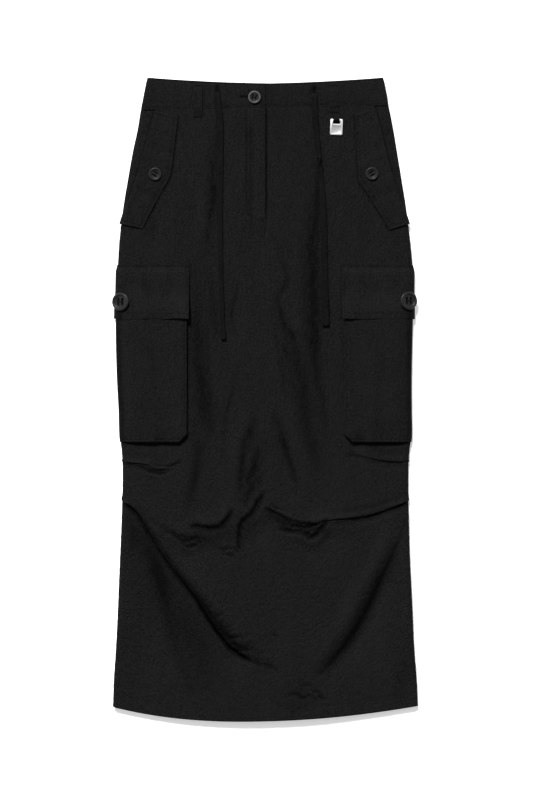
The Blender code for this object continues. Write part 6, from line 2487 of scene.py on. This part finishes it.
@dataclass
class SlottedButton:
    """A round button with a raised rim, a sunk centre and two long slots, sewn on with thread."""

    name: str
    diameter: float
    slot_turn: float
    segments: int = 72
    slot_sides: int = 16
    strands: int = 3
    strand_radius: float = 0.00022

    @property
    def height(self) -> float:
        """The button's whole height."""
        return 0.0022 + 0.07 * self.diameter

    def turned(self) -> tuple[Array, list[Array]]:
        """Points and faces of the turned body, about its own Z."""
        profile = [(r * (self.diameter / 2), h * self.height) for r, h in BUTTON_PROFILE]
        angle = 2 * np.pi * np.arange(self.segments) / self.segments
        circle = np.stack([np.cos(angle), np.sin(angle)], axis=-1)
        rings = [np.column_stack([r * circle, np.full(self.segments, h)]) for r, h in profile[1:-1]]
        points = np.concatenate([[[0, 0, profile[0][1]]], *rings, [[0, 0, profile[-1][1]]]])
        index = 1 + np.arange(len(rings) * self.segments).reshape(len(rings), self.segments)
        after = np.roll(index, -1, axis=1)
        low = np.stack([np.zeros(self.segments, int), after[0], index[0]], axis=-1)
        high = np.stack([np.full(self.segments, len(points) - 1), index[-1], after[-1]], axis=-1)
        return points, [ring_faces(index), np.concatenate([low, high])]

    def slot_cutter(self, middle: float) -> Object:
        """A round-ended bar that cuts one slot."""
        half, reach = 0.066 * self.diameter, 0.210 * self.diameter
        outline = []
        for k in range(self.slot_sides):
            angle = 2 * math.pi * (k + 0.5) / self.slot_sides
            end = math.copysign(reach - half, math.sin(angle))
            outline.append((middle + half * math.cos(angle), end + half * math.sin(angle)))
        return prism(f"{self.name}_slot_cutter", np.array(outline), -0.002, 0.012)

    def build(self, place: Matrix, wardrobe: Wardrobe, material: Material) -> None:
        """Builds the button, cuts its slots, places it and sews it on.

        Args:
            place: Where it stands, with Z out of the cloth.
            wardrobe: The finished materials.
            material: The button's own material.
        """
        button = add_mesh(f"{self.name}_body", *self.turned(), [material], sharp=50.0)
        for middle in (-0.122, 0.122):
            cut(button, self.slot_cutter(middle * self.diameter))
        co = soften(button, 0.00022, 50, 50)
        radius = np.hypot(co[:, 0], co[:, 1]) / (self.diameter / 2)
        # Painted highlight: the top of the rim is marked to take the plastic's paler colour
        rim = window(radius, 0.78, 0.93, 0.09) * smooth(co[:, 2] / self.height, 0.6, 0.95)
        write_attribute(button, "edge", rim)
        turned = place @ Matrix.Rotation(self.slot_turn, 4, "Z")
        button.data.transform(turned)
        put_on(button, Slot.BUTTON, [self.name])
        thread = self.thread(wardrobe)
        thread.data.transform(turned)
        put_on(thread, Slot.NYLON)

    def thread(self, wardrobe: Wardrobe) -> Object:
        """A few strands over the bar between the slots, going down into both of them."""
        arc = [(x * self.diameter, z * self.height) for x, z in THREAD_ARC]
        size = len(arc) * THREAD_SIDES
        points, sides, caps = [], [], []
        for strand in range(self.strands):
            y = 0.035 * self.diameter * (strand / (self.strands - 1) - 0.5)
            for number, (x, z) in enumerate(arc):
                before, after = arc[max(number - 1, 0)], arc[min(number + 1, len(arc) - 1)]
                lean = math.atan2(after[1] - before[1], after[0] - before[0])
                for k in range(THREAD_SIDES):
                    angle = 2 * math.pi * k / THREAD_SIDES
                    up = self.strand_radius * math.sin(angle)
                    aside = y + self.strand_radius * math.cos(angle)
                    points.append((x - up * math.sin(lean), aside, z + up * math.cos(lean)))
            index = strand * size + np.arange(size).reshape(len(arc), THREAD_SIDES)
            sides.append(np.roll(ring_faces(index)[:, ::-1], 1, axis=1))
            caps += [index[0], index[-1][::-1]]
        faces = [np.concatenate(sides), np.array(caps)]
        return add_mesh(f"{self.name}_thread", np.array(points), faces, [wardrobe.thread],
                        sharp=80.0)


@dataclass
class ButtonSet:
    """Where the five buttons are sewn on."""

    form: SkirtForm
    cargo: dict[Side, CargoPocket]
    hip_rest: float = 0.0022
    waist_rest: float = 0.0026

    def flap_place(self, side: Side, down: float) -> Matrix:
        """Where a cargo button stands: on the flap, where it turns down over the side."""
        pocket, sign = self.cargo[side], side.sign

        def outer(reach: float, level: float) -> Array:
            """A point of the flap's plain outer face."""
            base = self.form.frame(sign * reach, level)
            return base.point + base.normal * float(pocket.flap_rest(reach, level) + pocket.wall)

        reach = float(self.form.flat_reach(sign, down))
        across = Vector(outer(reach + 0.007, down) - outer(reach - 0.007, down)) * sign
        up = Vector(outer(reach, down - 0.010) - outer(reach, down + 0.010))
        out = across.cross(up).normalized()
        up = out.cross(across).normalized()
        axes = Matrix((across.normalized(), up, out)).transposed().to_4x4()
        return Matrix.Translation(Vector(outer(reach, down)) + out * 0.0008) @ axes

    def build(self, wardrobe: Wardrobe) -> None:
        """Builds every button."""
        place = self.form.stand(-0.0159, 0.0288, self.waist_rest, 0.0)
        waist = SlottedButton("waist_button", 0.0183, math.radians(-8))
        waist.build(place, wardrobe, wardrobe.waist_plastic_painted_highlight)
        for side, across, down in ((Side.RIGHT, 0.1569, 0.1377), (Side.LEFT, 0.1507, 0.1372)):
            turn = -side.sign * math.radians(58)
            button = SlottedButton(f"hip_button_{side.label}", 0.0187, turn)
            place = self.form.stand(side.sign * across, down, self.hip_rest, 0.0)
            button.build(place, wardrobe, wardrobe.plastic)
        for side, down in ((Side.RIGHT, 0.3190), (Side.LEFT, 0.3175)):
            button = SlottedButton(f"cargo_button_{side.label}", 0.0260, 0.0)
            button.build(self.flap_place(side, down), wardrobe, wardrobe.plastic)


# --- Metal tag ---


@dataclass
class MetalTag:
    """A plain metal tag that swings on a folded strip of cloth below the left belt loop."""

    form: SkirtForm
    across: float = 0.1006
    down: float = 0.0612
    turn: float = math.radians(-2.0)
    lean: float = math.radians(3.4)
    bar_height: float = 0.0025
    width: float = 0.0174
    length: float = 0.0208
    wall: float = 0.0016
    post: float = 0.0036
    slot_low: float = 0.0054
    top: float = 0.0016
    bar_radius: float = 0.0009
    strip_width: float = 0.0086
    strip_wall: float = 0.0010
    gap: float = 0.0003
    loop_end: float = 0.0502

    def pivot(self) -> Matrix:
        """The tag's hinge: its X is the bar."""
        return self.form.stand(self.across, self.down, self.bar_height, self.turn)

    def outline(self, low: tuple[float, float], high: tuple[float, float], radius: float) -> Array:
        """A rectangle with round corners, anticlockwise."""
        points = []
        corners = ((high[0], high[1]), (low[0], high[1]), (low[0], low[1]), (high[0], low[1]))
        centre = ((low[0] + high[0]) / 2, (low[1] + high[1]) / 2)
        for quarter, (x, y) in enumerate(corners):
            across = x - math.copysign(radius, x - centre[0])
            along = y - math.copysign(radius, y - centre[1])
            for k in range(7):
                angle = math.pi / 2 * (quarter + k / 6)
                points.append((across + radius * math.cos(angle), along + radius * math.sin(angle)))
        return np.array(points)

    def build_plate(self, wardrobe: Wardrobe) -> None:
        """Builds the plate with its open slot, its bar, and the sunk brushed face."""
        half = self.width / 2
        steel = [wardrobe.steel]
        rim = self.outline((-half, -self.length), (half, self.top), 0.0018)
        plate = prism("tag_plate", rim, -self.wall / 2, self.wall / 2, steel)
        slot = half - self.post
        way = self.outline((-slot, -self.slot_low), (slot, 0.008), 0.0009)
        cut(plate, prism("tag_way", way, -0.003, 0.003, steel))
        edge = 0.0021
        sunk = self.outline(
            (-half + edge, -self.length + edge), (half - edge, -self.slot_low - edge), 0.0010)
        cut(plate, prism("tag_sunk", sunk, self.wall / 2 - 0.0003, 0.003, steel))
        angle = np.linspace(0, 2 * np.pi, 25)[:-1]
        ring = np.stack([np.cos(angle), np.sin(angle)], axis=-1) * self.bar_radius
        bar = prism("tag_bar", ring, -slot - 0.001, slot + 0.001, steel)
        bar.data.transform(Matrix.Rotation(math.pi / 2, 4, "Y"))
        cut(plate, bar, "UNION")
        co = soften(plate, 0.00020, 40, 35)
        inside = (np.abs(co[:, 0]) < half - edge - 0.0001) & (co[:, 1] < -self.slot_low - edge)
        inside &= (co[:, 1] > -self.length + edge + 0.0001) & (co[:, 2] > 0)
        write_attribute(plate, "edge", np.where(inside, 0.0, 1.0))
        plate.data.transform(self.pivot() @ Matrix.Rotation(self.lean, 4, "X"))
        put_on(plate, Slot.STEEL, ["tag"], TAG_BODY)

    def build_strip(self, wardrobe: Wardrobe) -> None:
        """Builds the strip, folded round the bar with its ends under the belt loop."""
        radius = self.bar_radius + self.gap + self.strip_wall / 2
        far = self.down - self.loop_end - 2 * self.gap
        section = [(far, -0.0006), (0.8 * far, -0.0005), (0.5 * far, 0.4 * radius),
                   (0.0018, 0.96 * radius)]
        for k in range(13):
            angle = math.pi / 2 + math.pi * k / 12
            section.append((radius * math.cos(angle), radius * math.sin(angle)))
        section += [(0.4 * far, -radius), (far, -radius)]
        line = curve_through(np.array(section), 0.0006)
        run = np.gradient(line, axis=0)
        side = unit(np.stack([-run[:, 1], run[:, 0]], axis=-1))
        outer = line + side * self.strip_wall / 2 * np.sign(side[0, 1])
        x = graded(self.strip_width, (0.0004,), (0.0004,), 0.0009) - self.strip_width / 2
        flat = np.zeros((len(outer), len(x)))
        matrix = np.array(self.pivot())
        place = np.stack([x + flat, outer[:, :1] + flat, outer[:, 1:] + flat], axis=-1)
        out = side * np.sign(side[0, 1])
        normal = np.stack([flat, out[:, :1] + flat, out[:, 1:] + flat], axis=-1) @ matrix[:3, :3].T
        world = place @ matrix[:3, :3].T + matrix[:3, 3]
        laid = Laid(world, unit(normal), place[..., 0], place[..., 1] + 0.2)
        sew("tag_strip", laid, self.strip_wall, wardrobe, ["tag_plate"], Hold.FOLDED,
            cloth=wardrobe.tie)

    def build(self, wardrobe: Wardrobe) -> None:
        """Builds the tag and its strip."""
        self.build_plate(wardrobe)
        self.build_strip(wardrobe)


# --- Floor, light and camera ---


@dataclass
class Studio:
    """A pale floor, soft lights and the camera that looks straight down on the skirt."""

    centre: tuple[float, float] = (0.00114, -0.0004)
    height: float = 6.0
    plane: float = 0.012
    view_height: float = 1.136
    floor_size: float = 7.0
    world: float = 0.16
    key: float = 6.0
    key_angle: float = math.radians(14)

    def place_camera(self) -> None:
        """Makes the camera."""
        camera = bpy.data.cameras.new("camera")
        camera.sensor_fit = "VERTICAL"
        camera.sensor_height = 24.0
        camera.lens = camera.sensor_height * self.height / self.view_height
        camera.clip_end = 60.0
        made = link("camera", camera)
        made.location = (*self.centre, self.plane + self.height)
        bpy.context.scene.camera = made

    def lay_floor(self, kit: ShaderKit) -> None:
        """Makes the floor, with faces fine enough to be a mesh of its own."""
        ticks = np.linspace(-self.floor_size / 2, self.floor_size / 2, 15)
        x, y = np.meshgrid(ticks, ticks)
        points = np.stack([x.ravel(), y.ravel(), np.full(x.size, -0.0004)], axis=-1)
        index = np.arange(x.size).reshape(x.shape)
        faces = np.stack([index[:-1, :-1], index[:-1, 1:], index[1:, 1:], index[1:, :-1]], axis=-1)
        add_mesh("floor", points, [faces.reshape(-1, 4)], [FloorFinish().material(kit)])

    def soft_light(self, name: str, place: Sequence[float], size: float, power: float) -> None:
        """A large square light that faces the skirt's middle."""
        light = bpy.data.lights.new(name, "AREA")
        light.shape, light.size, light.energy = "SQUARE", size, power
        made = link(name, light)
        made.location = place
        made.rotation_euler = (-Vector(place)).to_track_quat("-Z", "Y").to_euler()

    def light_up(self) -> None:
        """Makes the lights and the plain world."""
        world = bpy.data.worlds.new("studio")
        world.use_nodes = True
        background = world.node_tree.nodes["Background"]
        background.inputs["Color"].default_value = (1.0, 1.0, 1.0, 1.0)
        background.inputs["Strength"].default_value = self.world
        bpy.context.scene.world = world
        key = bpy.data.lights.new("key_light", "SUN")
        key.energy, key.angle = self.key, self.key_angle
        towards = Vector((0.30, -0.95, -1.12))
        link("key_light", key).rotation_euler = towards.to_track_quat("-Z", "Y").to_euler()
        self.soft_light("left_fill", (-3.4, -0.2, 1.5), 1.6, 26.0)
        self.soft_light("right_fill", (3.4, 0.2, 1.5), 1.6, 18.0)
        bpy.context.scene.view_settings.view_transform = "Standard"

    def build(self, kit: ShaderKit) -> None:
        """Makes the camera, the floor and the lights."""
        self.place_camera()
        self.lay_floor(kit)
        self.light_up()


# --- The whole skirt ---


def main() -> None:
    """Builds the studio and every sub-assembly of the skirt."""
    logging.basicConfig(level=logging.INFO, format="%(name)s: %(message)s")
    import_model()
    kit = ShaderKit.build()
    Studio().build(kit)
    wardrobe = Wardrobe.build(kit)
    form = SkirtForm()
    DrawTie(Side.RIGHT, form, RIGHT_TIE_ROWS, 0.0130, 0.0076).build(wardrobe)
    DrawTie(Side.LEFT, form, LEFT_TIE_ROWS, 0.0400, 0.0100, twists=(0.119,)).build(wardrobe)
    creases = FRONT_CREASES + combed_creases()
    BackPanel(form).build(wardrobe)
    FrontPanel(Side.LEFT, form, LEFT_TUCKS, creases).build(wardrobe)
    FrontPanel(Side.RIGHT, form, RIGHT_TUCKS, creases).build(wardrobe)
    Waistband(form).build(wardrobe)
    HipPocket(Side.RIGHT, form, RIGHT_FLAP_ROWS).build(wardrobe)
    HipPocket(Side.LEFT, form, LEFT_FLAP_ROWS).build(wardrobe)
    cargo = {side: CargoPocket(side, form) for side in Side}
    for pocket in cargo.values():
        pocket.build(wardrobe)
    BeltLoop("right", form, -0.0961, 0.0565).build(wardrobe)
    BeltLoop("left", form, 0.0970, 0.0502).build(wardrobe)
    BeltLoop("back", form, 0.0, 0.0565, behind=True).build(wardrobe)
    ButtonSet(form, cargo).build(wardrobe)
    MetalTag(form).build(wardrobe)


if __name__ == "__main__":
    main()
